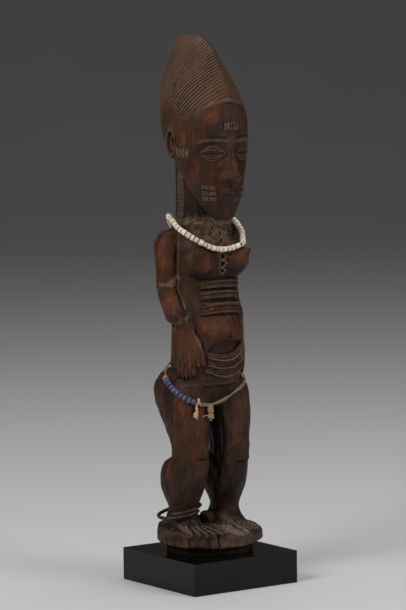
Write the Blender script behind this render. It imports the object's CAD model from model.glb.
import math
import bpy
import numpy as np
from mathutils import Matrix, Vector

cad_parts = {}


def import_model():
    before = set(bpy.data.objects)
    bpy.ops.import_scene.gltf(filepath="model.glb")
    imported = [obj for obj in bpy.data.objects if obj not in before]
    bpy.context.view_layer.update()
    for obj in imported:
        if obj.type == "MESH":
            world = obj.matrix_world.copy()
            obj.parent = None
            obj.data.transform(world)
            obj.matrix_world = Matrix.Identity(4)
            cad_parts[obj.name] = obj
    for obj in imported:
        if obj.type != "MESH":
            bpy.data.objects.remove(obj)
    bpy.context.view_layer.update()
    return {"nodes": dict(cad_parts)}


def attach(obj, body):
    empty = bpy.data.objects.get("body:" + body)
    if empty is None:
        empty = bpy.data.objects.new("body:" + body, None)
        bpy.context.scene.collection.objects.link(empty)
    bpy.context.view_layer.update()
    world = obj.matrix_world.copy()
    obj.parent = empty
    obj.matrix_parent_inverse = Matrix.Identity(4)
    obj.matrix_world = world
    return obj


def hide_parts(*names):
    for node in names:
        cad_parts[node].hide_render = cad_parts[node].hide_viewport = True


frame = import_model()

# Carved wooden standing woman on her own round base, on a black lacquered block, with glass beads at neck and hips
# and a wire ring at the ankle. The carving's form is a distance field in millimetres above the block, meshed finely here.
BLOCK_SIDE, BLOCK_HEIGHT = 100.0, 25.5
LIFT = BLOCK_HEIGHT + 0.3
F32 = np.float32


# ------------------------------------------------------------------ small maths
def smooth(a, b, v):
    t = np.clip((v - a) / (b - a), 0, 1)
    return t * t * (3 - 2 * t)


def smin(a, b, k):
    h = np.maximum(k - np.abs(a - b), 0) / k
    return np.minimum(a, b) - h * h * (k * 0.25)


def smax(a, b, k):
    return -smin(-a, -b, k)


def ell(x, y, z, cx, cy, cz, rx, ry, rz):
    X, Y, Z = (x - cx) / rx, (y - cy) / ry, (z - cz) / rz
    k0 = np.sqrt(X * X + Y * Y + Z * Z)
    k1 = np.sqrt((X / rx) ** 2 + (Y / ry) ** 2 + (Z / rz) ** 2)
    return k0 * (k0 - 1) / np.maximum(k1, 1e-6)


def cap(x, y, z, ax, ay, az, ra, bx, by, bz, rb):
    dx, dy, dz = bx - ax, by - ay, bz - az
    t = np.clip(((x - ax) * dx + (y - ay) * dy + (z - az) * dz) / (dx * dx + dy * dy + dz * dz), 0, 1)
    X, Y, Z = x - ax - dx * t, y - ay - dy * t, z - az - dz * t
    return np.sqrt(X * X + Y * Y + Z * Z) - (ra + (rb - ra) * t)


def bump(v, c, w):
    t = np.minimum(np.abs(v - c) / w, 1)
    return (1 - t * t) ** 2


def along(st, t):
    # piecewise value over stations, eased
    out = np.full(np.shape(t), st[0][1], F32)
    for (a, va), (b, vb) in zip(st[:-1], st[1:]):
        out = np.where(t > a, va + (vb - va) * smooth(a, b, t), out)
    return out


def waves(x, y, z, seed, scale, n=6, stretch=(1.0, 1.0, 1.0)):
    # smooth pseudo-random field, about -1..1
    rs = np.random.RandomState(seed)
    s = 0
    for _ in range(n):
        k = rs.normal(size=3)
        k *= rs.uniform(0.6, 1.5) * 2 * math.pi / scale / np.linalg.norm(k)
        s = s + np.sin(k[0] / stretch[0] * x + k[1] / stretch[1] * y + k[2] / stretch[2] * z + rs.uniform(0, 6.28))
    return s / math.sqrt(n) * 0.9


STEP = 0.5


class Loft:
    # rounded sections up the Z axis. Rows: [z, cx, half width, cy, front y, back y, squareness]
    def __init__(self, rows):
        rows = np.array(rows, float)
        z0, z1 = rows[0, 0], rows[-1, 0]
        n = int(round((z1 - z0) / STEP)) + 1
        zs = z0 + np.arange(n) * STEP
        tab = np.zeros((n, 6))
        for i, z in enumerate(zs):
            k = 0
            while k < len(rows) - 2 and rows[k + 1, 0] <= z:
                k += 1
            a, b, c, d = rows[max(k - 1, 0)], rows[k], rows[k + 1], rows[min(k + 2, len(rows) - 1)]
            t = min(max((z - b[0]) / (c[0] - b[0]), 0), 1)
            h, t2, t3 = c[0] - b[0], t * t, t * t * t
            for j in range(1, 7):
                s0 = (b[j] - a[j]) / max(b[0] - a[0], 1e-6)
                s1 = (c[j] - b[j]) / (c[0] - b[0])
                s2 = (d[j] - c[j]) / max(d[0] - c[0], 1e-6)
                m0 = s1 if k == 0 else (0 if s0 * s1 <= 0 else 2 * s0 * s1 / (s0 + s1))
                m1 = s1 if k + 2 > len(rows) - 1 else (0 if s1 * s2 <= 0 else 2 * s1 * s2 / (s1 + s2))
                tab[i, j - 1] = (2 * t3 - 3 * t2 + 1) * b[j] + (t3 - 2 * t2 + t) * h * m0 + (-2 * t3 + 3 * t2) * c[j] + (t3 - t2) * h * m1
        self.zs, self.tab, self.z0, self.z1 = zs, tab, z0, z1

    def __call__(self, x, y, z, k=3.0):
        cx, w, cy, f, b, e = [np.interp(z, self.zs, self.tab[:, j]).astype(F32) for j in range(6)]
        ry = np.where(y < cy, cy - f, b - cy)
        X, Y = np.maximum(np.abs(x - cx) / w, 1e-5), np.maximum(np.abs(y - cy) / ry, 1e-5)
        g = (X ** e + Y ** e) ** (1 / e)
        r = np.hypot(x - cx, y - cy)
        m = np.minimum(w, ry)
        rad = r / np.maximum(g, 1e-6)
        return smax((g - 1) * (rad * 0.5 + m * 0.5), np.maximum(self.z0 - z, z - self.z1), k)


# ------------------------------------------------------------------ the carving's sections
torso = Loft([
    [112, 0, 25, 8, -13, 24, 2.4], [122, 0, 27.5, 7, -15.5, 25, 2.4], [134, 0, 28.0, 5, -18, 26, 2.5], [146, 0, 27.6, 3, -20.5, 25, 2.5],
    [158, 0, 27.4, 2, -21.5, 23.5, 2.5], [170, 0, 27.2, 2, -21, 23, 2.5], [184, 0, 26.8, 2, -18.5, 22.5, 2.6], [200, 0, 26.3, 2, -17.2, 22, 2.7],
    [216, 0, 26.0, 3, -16.5, 22.5, 2.6], [232, 0, 27, 4, -17, 24, 2.5], [244, 0, 27, 6, -15.2, 25, 2.3], [252, 0, 24.4, 8.5, -11.4, 25, 2.2],
    [260.5, 0, 18.5, 12, -5.4, 26, 2.0]])
leg = Loft([
    [16, 20.0, 10.5, 7, -4, 18.5, 2.1], [34, 20.2, 11.0, 7, -4.5, 19.5, 2.1], [44, 20.2, 13.8, 7, -8.5, 24.5, 2.1], [54, 20.0, 15.8, 7, -13, 28.5, 2.1],
    [62, 19.2, 16.0, 5, -15.0, 28.5, 2.2], [70, 18.4, 15.8, 2, -16.2, 24.6, 2.3], [77, 18.0, 14.4, -2, -16.6, 13.4, 2.4], [84, 18.0, 14.6, -1, -17.6, 11.5, 2.6],
    [92, 18.2, 15.4, 1, -17.6, 15.3, 2.7], [101, 18.6, 16.6, 3, -17.4, 19.0, 2.7], [112, 18.9, 17.7, 7, -17.3, 26.8, 2.6], [124, 18.9, 18.4, 9.5, -16.3, 34.6, 2.4],
    [131, 18.3, 18.4, 10, -15.0, 36.2, 2.2], [138, 17.0, 17.0, 9.5, -10.5, 34, 2.1], [146, 15.0, 12.5, 8, -5, 26.5, 2.1]])
hair = Loft([
    [301, 0, 17.5, 10, -8, 17, 2.0], [307, 0, 20.6, 9, -14, 18.8, 2.0], [313, 0, 23.6, 8, -20, 22.4, 2.0], [322, 0, 27.4, 7, -27, 29.2, 2.0],
    [331, 0, 30.2, 5.5, -31, 36.0, 2.0], [341, 0, 31.0, 4.2, -34, 39.5, 2.0], [350.5, 0, 30.9, 4.0, -34.2, 41.0, 2.0], [360, 0, 29.6, 5.5, -31.2, 42.0, 2.0],
    [369.5, 0, 26.8, 7.8, -26.6, 43.0, 1.95], [379, 0, 22.3, 10.2, -21.6, 43.6, 1.9], [388.5, 0, 17.0, 12.5, -15.4, 42.2, 1.9], [398.6, 0, 11.6, 15, -8.0, 38.8, 1.9],
    [404.0, 0, 7.6, 16, -3.2, 35.4, 2.0], [407.8, 0, 3.2, 16.5, 5, 28.5, 2.0]])
face = Loft([
    [263.5, 0, 5.5, -24.5, -28.6, -20.5, 2.0], [267, 0, 9.6, -22.5, -30.6, -17.5, 2.0], [275, 0, 15.4, -18, -32.0, -11.5, 2.1], [285, 0, 20.4, -13.5, -33.0, -5.0, 2.1],
    [295, 0, 24.0, -9.0, -33.6, 2.5, 2.2], [307, 0, 27.4, -4.5, -34.6, 11, 2.2], [318, 0, 29.6, -2, -35.4, 17, 2.2], [330, 0, 31.0, 0, -36.2, 21, 2.15],
    [343, 0, 31.2, 2, -36.4, 24, 2.1], [357, 0, 28.5, 4, -33.6, 26, 2.0]])
HAIRLINE = [(-40, 357.5), (-33, 357), (-28.5, 353.5), (-23, 348.5), (-12.4, 335), (-6, 323), (2, 309), (12, 303)]
TOES_R = [[-14.5, -38.0], [-20.5, -35.6], [-25.6, -32.2], [-30.0, -28.2], [-34.2, -22.6]]
TOES_L = [[9.0, -39.6], [14.0, -38.4], [18.8, -36.2], [23.4, -33.2], [27.6, -29.6]]


def hairline(y):
    return np.interp(y, [p[0] for p in HAIRLINE], [p[1] for p in HAIRLINE]).astype(F32)


def base_disc(x, y, z, fine):
    a = np.arctan2(x, -y)
    wob = 0.5 * np.sin(3 * a + 0.8) + 0.4 * np.sin(5 * a + 2.1) + 0.25 * np.sin(9 * a)
    r = np.hypot(x, y)
    side = 1 - np.cos(a + 0.614)
    zc = 7.2 + 1.7 * side
    R = np.where(z < zc + 2, 34.2 + 7.8 * smooth(zc - 3.4 - 1.2 * side, zc + 0.3 + 1.3 * side, z), 42.0 - 0.4 * (z - zc) / 12) + wob
    top = 18.6 + 0.06 * y + 0.3 * np.sin(4 * a)
    if fine:
        # adze cuts round the rim, rough top, and drying cracks
        n = 2 * math.pi / 19
        b = np.mod(a + 0.13 * np.sin(3 * a + 1), n) - n / 2
        R = R - 1.05 * (1 - np.cos(b * 5.5)) + 0.22 * waves(x, y, z, 3, 3.6, 7, (1, 1, 5.0)) + 0.22 * waves(x, y, z, 5, 9.0, 5)
        top = top + 0.28 * waves(x, y, z, 4, 7.0, 6)
        for ang, wd, dp, lo, hi in ((-0.438, 0.42, 3.6, 5.5, 19.5), (0.36, 0.25, 1.4, 9, 19.5), (-1.02, 0.22, 1.3, 3, 15), (1.3, 0.3, 1.8, 6, 20), (2.5, 0.4, 2.6, 4, 20), (-2.3, 0.3, 2.0, 6, 20)):
            off = (a - ang - 0.010 * np.sin(z * 0.8)) * 42
            R = R - dp * bump(off, 0, wd + 0.25) * smooth(lo - 2, lo + 1, z) * smooth(hi + 1, hi - 1, z)
            top = top - 1.4 * dp / 3 * bump(off, 0, wd + 0.4) * smooth(28, 41, r)
    return smax(smax((r - R) * 0.85, z - top, 2.0), -z - 0.25, 0.2)


def foot(x, y, z, toes, s, fine):
    m = [(toes[0][0] + toes[4][0]) / 2, (toes[0][1] + toes[4][1]) / 2]
    d = cap(x, y, z, s * 20, 11, 17, 12.4, s * 20.3, 14, 25, 9.8)
    far, lowz, rr = (0.66, 11.6, 11.5) if not fine else (0.50, 10.4, 10.9)
    d = smin(d, cap(x, y, z, s * 20.5, 2, 19.7, 11.6, s * 20.5 + (m[0] - s * 20.5) * far, m[1] * far, lowz, rr), 6)
    for t in toes:
        a = 0.42 if not fine else 0.30
        rx, ry = s * 20.5 + (t[0] - s * 20.5) * a + (t[0] - m[0]) * 0.42, 2 + (t[1] - 2) * a - 2 * (1 - a)
        if fine:
            # long thin toes lying on the disc and ending at its rim
            d = smin(d, cap(x, y, z, rx, ry, 20.6, 1.7, t[0] * 0.985, t[1] * 0.985, 16.9, 2.35), 0.45)
        else:
            d = smin(d, cap(x, y, z, rx, ry, 20.4, 2.4, t[0] * 0.965, t[1] * 0.965, 16.6, 3.0), 1.0)
    return d


def hand(ax, y, z, t, thin, fine):
    u = -0.817 * ax - 0.577 * y
    right = along([[136, -9.5], [147.5, -9.5], [149.5, -1.6], [158, -2.4], [168, -5.2], [178, -10.5], [187, -15.5]], z)
    left = -24.6
    low = np.where(u < -9.4, 137.5 - 0.9 * np.cos((u + 18) * 0.35), 148.5)
    if fine:
        low = np.where(u < -9.4, 142.6 - 1.5 * np.abs(np.sin((u + 21.8) / 3.15 * math.pi)) ** 0.6 - 0.9 * np.cos((u + 18) * 0.35), 151.2 - 1.2 * np.abs(np.sin((u + 9.4) / 4.0 * math.pi)) ** 0.6)
    inside = np.maximum(np.maximum(np.maximum(left - u, u - right), np.maximum(low - z, z - 189)), y - 6)
    thick = along([[136, 3.6], [150, 4.6], [170, 4.2], [186, 4.8]], z)
    g = 0
    for c in (-21.8, -18.4, -15.2, -12.2, -9.4, -5.4):
        g = np.maximum(g, bump(u, c + (0.35 * np.sin(z * 0.55 + c) if fine else 0), 0.9 if not fine else 0.75) * smooth(163.0 if c < -9 else 168.0, 153, z))
    e = smax(t - thick * thin + (1.35 if fine else 1.5) * g, inside * 0.9, 2.0 if not fine else 1.2)
    return e


LOZENGES = ((0.3, 256.6, 1.7, 2.5), (7.4, 257.2, 1.7, 2.3), (13.2, 255.4, 1.6, 2.3), (5.5, 252.8, 2.1, 2.9), (4.2, 247.2, 2.1, 2.8), (3.4, 241.4, 2.0, 2.6),
            (3.0, 235.4, 2.1, 2.5), (2.8, 229.4, 2.2, 2.4), (2.8, 223.8, 2.0, 1.8))


def marks(x, z):
    """Pits of the lozenges, and the raised frames round them."""
    p, f = 0, 0
    for cx, cz, w, h in LOZENGES:
        rr = np.abs(x - cx) / w + np.abs(z - cz) / h
        p = np.maximum(p, smooth(1.05, 0.45, rr))
        f = np.maximum(f, bump(rr, 1.4, 0.5))
    return p, f


def folds(x, y, z):
    """The folds under the belly: their reach, place within a fold from hem to top, and the bowl above them."""
    front = smooth(-2, -14, y)
    dx = (x - 2.5) / 18.0
    kk = np.clip((z - 141) / 22, 0, 1)
    lvl = z - np.where(x < 2.5, 5.4 - 2.6 * kk, 5.4 + 3.0 * kk) * np.minimum(dx * dx, 1.3) + 0.2 * waves(x, y, z, 31, 9.0, 4)
    ph = (lvl - 139.4) / 6.3
    reach = smooth(-17.6, -15.4, x - 0.16 * (lvl - 140)) * smooth(26, 23, x) * front * smooth(-0.02, 0.08, ph) * smooth(3.06, 3.0, ph)
    top = 168.4 - np.where(x < 2.5, 0.026, 0.008) * (x - 2.5) ** 2
    bowl = smooth(3.0, 3.14, ph) * smooth(top + 0.8, top - 1.4, z) * smooth(-14.5, -10.5, x) * smooth(22.5, 18, x) * front
    return reach, ph - np.floor(ph), bowl, top


def form(x, y, z, fine=True, part="body"):
    """Signed distance, in mm above the block. part: body (head without its coiffure), hair, or all."""
    ax = np.abs(x)
    zlo, zhi = float(z.min()), float(z.max())
    d = np.full(x.shape, 1e3, F32)
    if part == "hair":
        return hair_form(x, y, z, fine)
    if zlo < 62:
        d = base_disc(x, y, z, fine)
        if zlo < 45:
            f = np.where(x < 0, foot(x, y, z, TOES_R, -1, fine), foot(x, y, z, TOES_L, 1, fine))
            d = smin(d, np.where(z < 46, f, 1e3), 1.5)
            if fine:
                ledge = ell(x, y, z, 8.5, 13.5, 21.5, 7.0, 9.0, 7.6) + 0.35 * waves(x, y, z, 14, 3.0, 6)
                d = smin(d, smax(ledge, z - 27.8, 1.5), 1.5)
    if zlo < 160:
        dl = leg(ax, y, z, 4)
        zk = np.where(x < 0, 75.6, 70.6)
        dl = dl - 1.1 * smooth(zk - 0.6, zk + 0.9, z) * smooth(92, 80, z) * smooth(-4, -14, y) * np.where(x < 0, smooth(-27, -20, x), smooth(11, 17, x))
        # inner front edge of the right thigh
        ue = along([[58, 2.5], [70, 1.2], [78, -0.2], [100, 0.2], [121, 0.8], [130, -1.2], [138, 2.5]], z)
        trim = (0.817 * x - 0.577 * y - ue)
        dl = np.where((x < 0) & (z > 56), smax(dl, trim * 0.95, 2.0), dl)
        if fine:
            # long shallow cuts of the blade down thigh and shin
            dl = dl + 0.32 * waves(x, y, z, 11, 7.5, 7, (1, 1, 5.0)) * smooth(36, 50, z) + 0.12 * waves(x, y, z, 12, 3.2, 6, (1, 1, 4.0)) * smooth(30, 40, z)
            # rough streaks on the inner face of the left leg
            inner = smooth(9.5, 6.0, x) * smooth(-2, 2, x) * smooth(2, -6, y) * smooth(56, 64, z) * smooth(118, 106, z)
            dl = dl + 0.9 * inner * (0.5 + waves(x, y * 1.0, z, 13, 3.4, 7, (1, 1, 3.2)))
            # a short nick under each kneecap
            dl = dl + 1.5 * bump(z, np.where(x < 0, 75.8 + 0.05 * (x + 18), 70.6), 1.5) * smooth(-4, -11, y) * np.where(x < 0, bump(x, -16.6, 7.5), bump(x, 21.5, 7.5)) ** 0.6
        d = smin(d, dl, 4.0) if zhi < 45 else np.where(z < 45, smin(d, dl, 4.0), smin(d, dl, 0.8))
    if zhi > 95 and zlo < 280:
        t0 = torso(x, y, z, 8)
        # below the hip ledge the front falls back
        t0 = t0 + 3.0 * smooth(134.6, 131.2, z + (0.3 * np.sin(x * 0.45) if fine else 0)) * smooth(-2, -10, y)
        t = smin(t0, ell(x, y, z, 0.5, -12.5, 174, 15.5, 13.5, 12) if not fine else ell(x, y, z, 1.5, -9.6, 174.5, 20, 15.2, 14), 7)
        front = smooth(-2, -14, y)
        if not fine:
            ex, ez = (x - 1.5) / 20.5, (z - 168) / 27.5
            er = np.hypot(ex, ez)
            arcs = -2.4 * smooth(0.36, 0.5, er) * smooth(1.04, 0.97, er) * front
            ring = 0.5 - 0.5 * np.cos((er - 0.97) * 2 * math.pi / 0.13)
            arcs = arcs + np.where((er > 0.45) & (er < 1.0), 0.9 * ring * front, 0)
            t = t + np.where((z < 167) & (y < 0), arcs * smooth(168, 166, z), 0)
        else:
            # a smooth dark bowl under the belly, and under that folds lapping like shallow hanging cloths
            reach, fr, bowl, top = folds(x, y, z)
            lap = 2.9 * (1 - fr) * smooth(0.0, 0.12, fr) - 1.15 * bump(fr, 0.44, 0.13) - 0.75 * bump(fr, 0.76, 0.11)
            t = smin(t0, t + 40 * smooth(top + 2, top - 3, z), 2) - reach * (0.6 + lap) + 2.0 * bowl
        if fine:
            # navel
            rn = np.hypot(x - 4.5, z - 171.5)
            t = t + (1.5 * bump(rn, 0, 1.9) - 0.5 * bump(rn, 2.6, 1.3)) * front
            t = t + 0.24 * waves(x, y, z, 21, 8.5, 7, (1, 1, 3.2)) * smooth(112, 134, z) + 0.08 * waves(x, y, z, 22, 3.0, 6, (1, 1, 3.5))
        for zb, hb, sd in ((213.2, 2.9, 1), (205, 2.9, 2), (194.4, 4.2, 3)):
            zz = z - zb - 0.8 + 0.003 * x * x
            h2 = hb
            rise = 2.4
            if fine:
                zz = zz + 0.25 * waves(x, y, z, 30 + sd, 9.0, 4)
                tip = smooth(-6, -17.5, x)
                h2 = hb - 1.1 * tip
                zz = zz + 0.6 * tip
                rise = 2.7 - 1.0 * bump(zz, 0.25 * hb, 0.62) - (0.8 * bump(zz, -0.42 * hb, 0.6) if hb > 4 else 0) - 0.35 * bump(np.mod(x + sd * 1.3, 5.2), 2.6, 0.8) * (np.abs(zz) < hb)
            q = np.maximum(np.maximum(np.abs(x - 1.4) - 18.3, np.abs(zz) - h2), y + 6)
            t = np.minimum(t, smax(t0 - rise, q, 1.0 if not fine else 0.7))
        if fine:
            # undercuts above and below each bar
            for zc in (217.2, 209.1, 200.4, 189.0):
                t = t + 0.9 * bump(z - 0.8 + 0.003 * x * x, zc, 1.0) * smooth(20.5, 17.5, np.abs(x - 1.4)) * front
        br = ell(ax, y, z, 16.5, -11.4, 231.4, 13.6, 11.6, 13.4)
        br = smin(br, cap(ax, y, z, 18.2, -15.8, 232.6, 8.0, 20.8, -22.4, 237.2, 4.6), 5)
        br = smin(br, ell(ax, y, z, 22.0, -27.2, 239.6, 1.9, 1.9, 1.9), 1.2)
        if fine:
            br = br + 0.7 * bump(np.sqrt((ax - 21.6) ** 2 + (y + 25.6) ** 2 + (z - 239.0) ** 2), 3.4, 0.8)
            br = br + 0.18 * waves(x, y, z, 23, 8.0, 6)
        t = smin(t, br, 3 if not fine else 4.0)
        if fine:
            # cut marks: lozenges up the breastbone and a row under the throat, with a ladder of ticks either side below
            p, frame_ = marks(x, z)
            xc = x - 2.8 - 0.11 * np.maximum(z - 236, 0)
            ladder = bump(np.mod(z, 2.7), 1.35, 0.75) * bump(np.abs(xc), 4.5, 1.9) * smooth(238, 235, z) * smooth(217.5, 219, z)
            t = t + (1.5 * p - 0.55 * frame_ - 0.35 * bump(np.abs(xc), 4.5, 2.3) * smooth(238, 235, z) * smooth(217, 219, z) + 0.9 * ladder) * smooth(8, 2, y)
        d = smin(d, t, 2.0)
        sx = np.where(x > 0, ax + 1.8 * smooth(240, 215, z), ax)
        s = cap(ax, y, z, 14, 13, 248, 9.4, 27.0, 12.0, 245.2, 10.6)
        s = smin(s, np.where(x > 0, cap(ax, y, z, 8, 5.5, 251.8, 9.6, 23.5, 8.5, 250.6, 10.4), cap(ax, y, z, 9, 8.5, 249.6, 9.2, 20.0, 12.0, 247.0, 9.6)), 5)
        s = smin(s, cap(sx, y, z, 28.4, 12.5, 243, 10.6, 28.2, 12.6, 212, 9.6), 4)
        f = cap(sx, y, z, 27.6, 11.4, 205.5, 9.6, 26.4, 3.6, 189.5, 9.7)
        f = smax(f, 182.2 - z, 3.5)
        s = smin(s, f, 1.6 if not fine else 1.0)
        if fine:
            s = s + 0.3 * waves(x, y, z, 24, 8.0, 7, (1, 1, 3.0)) + 0.08 * waves(x, y, z, 25, 3.0, 6, (1, 1, 3.0))
            s = s + 0.6 * bump(z, 213.5 + 0.9 * np.sin(y * 0.25), 1.0) * smooth(24, 15, y)
        d = smin(d, s, 1.2 if not fine else 0.8)
        if fine:
            # fine cut line where arm meets trunk, in front
            d = d + 0.5 * bump(t0 - s, 0, 1.3) * smooth(10, 2, y) * smooth(186, 190, z) * smooth(246, 238, z)
        hd = hand(ax, y, z, t0, np.where(x > 0, 0.6, 1.0), fine)
        if fine:
            hd = hd + 0.14 * waves(x, y, z, 26, 4.5, 6, (1, 1, 3.5))
        d = smin(d, hd, 0.05 + 4.0 * smooth(178, 186, z)) if fine else np.minimum(d, hd)
    if zhi > 235:
        groove = (0.9 if not fine else 1.1) * bump(z, 261.8, 1.7)
        ny = 14.2 - 5 * smooth(264, 243, z)
        nk = np.hypot(x, (y - ny) * 0.99) - (16.4 - 1.0 * smooth(256, 275, z)) + groove
        if fine:
            # notched strips down both sides of the neck
            st = smooth(4.1, 3.5, np.abs(y - 12.6)) * smooth(8, 11, ax) * smooth(263.5, 265, z)
            pit = np.maximum(bump(np.mod(z, 3.2), 1.6, 1.15) * bump(y, 11.0, 1.25), bump(np.mod(z + 1.6, 3.2), 1.6, 1.15) * bump(y, 14.2, 1.25))
            nk = nk - 0.85 * st + 1.7 * st * pit
            nk = nk + 0.20 * waves(x, y, z, 27, 6.0, 6, (1, 1, 6.0))
        nk = np.maximum(nk, np.maximum(238 - z, z - 318))
        d = smin(d, nk, 1.6)
        d = smin(d, head_form(x, y, z, ax, fine), 1.2)
        if part == "all":
            d = np.minimum(d, hair_form(x, y, z, fine))
    return d.astype(F32)


def head_form(x, y, z, ax, fine):
    fc = face(x, y, z, 2)
    hl = hairline(y)
    hr = hair(x, y, z, 1.5)
    skull = smax(hr + 1.3, (z - (hl + 6)) * 0.7, 2.0)
    fc = smax(fc, (z - (hl + 9)) * 0.7, 2.0)
    fc = smin(fc, skull, 1.5)
    if not fine:
        fc = smin(fc, cap(x, y, z, 0, -35.6, 324, 2.6, 0, -39.6, 299.5, 3.0), 3)
        fc = smin(fc, ell(ax, y, z, 3.8, -37.0, 298, 4.2, 3.8, 3.2), 1.6)
        fc = smin(fc, ell(ax, y, z, 14.8, -30.0, 317.5, 9.6, 4.6, 5.4), 1.2)
        fc = smin(fc, ell(x, y, z, 0, -33.0, 284.5, 6.8, 3.6, 3.9), 1.2)
    else:
        fr = smooth(0, -8, y)
        fc = fc + 0.16 * waves(x, y, z, 41, 9.0, 6)
        # places on the face are taken round its curve, so that near and far sides match
        arc = 31.0 * np.arctan2(ax, -(y - 0.5))
        q = (arc - 13.6) / 9.4
        dz = z - 317.6
        # eye hollows under an arched brow that runs into the nose
        fc = fc + 1.9 * np.exp(-((q * 0.82) ** 2 + (dz / 8.0) ** 2) ** 2) * fr
        zb = 325.6 + 2.6 * (1 - ((arc - 13) / 13) ** 2)
        fc = fc - 1.0 * bump(z, zb, 2.6) * smooth(27, 22, arc) * smooth(1.0, 4.5, arc) * fr
        fc = fc + 0.5 * bump(z, zb + 2.7, 1.0) * smooth(26, 20, arc) * smooth(3.0, 6.0, arc) * fr
        # nose: straight bridge widening to soft wings
        nose = cap(x, y, z, 0, -33.2, 325, 2.7, 0, -37.2, 300.4, 4.2)
        nose = smin(nose, ell(ax, y, z, 4.2, -35.4, 298.2, 4.0, 4.6, 3.4), 3.0)
        nose = smin(nose, ell(x, y, z, 0, -38.2, 298.8, 3.8, 3.8, 3.4), 2.5)
        fc = smin(fc, nose, 5.0)
        fc = fc + 0.9 * bump(np.sqrt((ax - 2.9) ** 2 + (y + 37.4) ** 2 + (z - 294.9) ** 2), 0, 1.8)
        # lidded almond eyes, domed out of the hollow
        half = np.maximum(5.7 * (1 - q * q), 0.25)
        v = dz / half
        inq = smooth(1.0, 0.9, np.abs(q)) * fr
        dome = np.sqrt(np.clip(1 - v * v * 0.8, 0, 1)) * smooth(1.12, 0.9, np.abs(v))
        fc = fc - 2.1 * dome * np.clip(1 - q * q, 0, 1) ** 0.5 * inq
        for lim, wd, hi in ((1.0, 1.0, 0.75), (0.58, 0.8, 0.40)):
            for sg in (-1, 1):
                fc = fc - hi * bump(dz, sg * half * lim, wd) * inq
        fc = fc + 0.95 * bump(dz, 0.3 * (1 - q * q), 0.8) * smooth(0.9, 0.72, np.abs(q)) * fr
        for sg in (-1, 1):
            fc = fc + 0.45 * bump(dz, sg * half * 0.79, 0.6) * smooth(0.86, 0.7, np.abs(q)) * fr
        # lips, closed
        lip = smin(cap(x, y, z, -4.6, -32.6, 285.9, 1.5, 4.6, -32.6, 285.9, 1.5), cap(x, y, z, -4.0, -32.8, 282.2, 1.8, 4.0, -32.8, 282.2, 1.8), 0.5)
        lip = smin(lip, cap(x, y, z, -2.0, -33.6, 286.2, 1.5, 2.0, -33.6, 286.2, 1.5), 1.0)
        fc = smin(fc, ell(x, y, z, 0, -31.6, 284.4, 8.2, 3.2, 5.6), 2.5)
        fc = smin(fc, lip, 1.0)
        fc = fc + 0.9 * bump(z, 284.2 + 0.12 * np.abs(x), 0.7) * smooth(7.2, 5.6, ax) * smooth(-20, -28, y)
        fc = fc + 0.5 * bump(x, 0, 1.3) * smooth(287.5, 289.5, z) * smooth(295, 292, z) * fr
        # notched bars at the corners of the mouth
        sarc = ax * 0.8 + (y + 33) * 0.6
        for zc in (290.6, 286.2, 281.8):
            zz = z - zc - 0.10 * (sarc - 15)
            m = smooth(10.6, 11.6, sarc) * smooth(22.4, 21.2, sarc) * smooth(-6, -12, y)
            fc = fc - m * (1.15 * smooth(1.9, 1.2, np.abs(zz)) - 0.55 * bump(np.mod(sarc, 3.6), 1.8, 0.6) * smooth(1.9, 1.4, np.abs(zz)))
            fc = fc + m * 0.4 * bump(zz, 0, 0.5)
        # comb mark on the forehead
        zz = z - 338.6
        m = smooth(6.9, 6.3, ax) * smooth(3.2, 2.6, np.abs(zz)) * fr
        fc = fc - m * 1.1 + m * 1.15 * bump(np.mod(x + 1.25 * 5, 2.5), 1.25, 0.62)
        fc = fc + 0.45 * smooth(7.9, 7.3, ax) * smooth(6.2, 6.8, ax) * smooth(3.6, 3.0, np.abs(zz)) * fr
        fc = fc + 0.9 * bump(np.hypot(x, (z - 343.8)), 0, 1.9) * fr
        fc = fc - 0.6 * (bump(np.hypot(ax - 15.5, z - 337.2), 0, 1.3) + bump(np.hypot(ax - 17.6, z - 339.6), 0, 1.2) + bump(np.hypot(ax - 14.6, z - 340.8), 0, 1.1)) * fr
        # notched block at the temple
        m = smooth(-17.4, -16.7, y) * smooth(-4.4, -5.1, y) * smooth(4.1, 3.4, np.abs(z - 318)) * smooth(15, 20, ax)
        fc = fc - m * (2.0 - 1.4 * np.maximum(np.maximum(bump(y, -14.2, 0.85), bump(y, -11.0, 0.85)), bump(y, -7.8, 0.85)))
    ea = np.hypot((y - 4.5) / 5.6, (z - 325.5) / 10.5)
    er = (ea - 1) * 7.2
    if fine:
        # a C-shaped rim, open in front, round a hollow with a small inner fold
        ang = np.arctan2((z - 325.5) / 10.5, (y - 4.5) / 5.6)
        open_ = bump(np.abs(ang), math.pi, 0.5)
        fc = fc + 0.5 * smooth(1.0, 0.55, ea) * smooth(12, 20, ax)
        rim = smax(np.abs(er) - 1.15 + 1.0 * open_, np.abs(ax - 28.2) - 2.7, 1.2)
        fc = smin(fc, rim, 1.0)
        e2 = np.hypot((y - 3.6) / 2.6, (z - 326) / 5.6)
        fc = smin(fc, smax(np.abs((e2 - 1) * 3.6) - 0.6, np.abs(ax - 27.0) - 2.2, 0.8), 0.8)
    else:
        rim = np.maximum(np.abs(er) - 1.3, np.abs(ax - 29.0) - 2.8)
        fc = smin(fc, rim, 1.2)
    return fc


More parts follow.
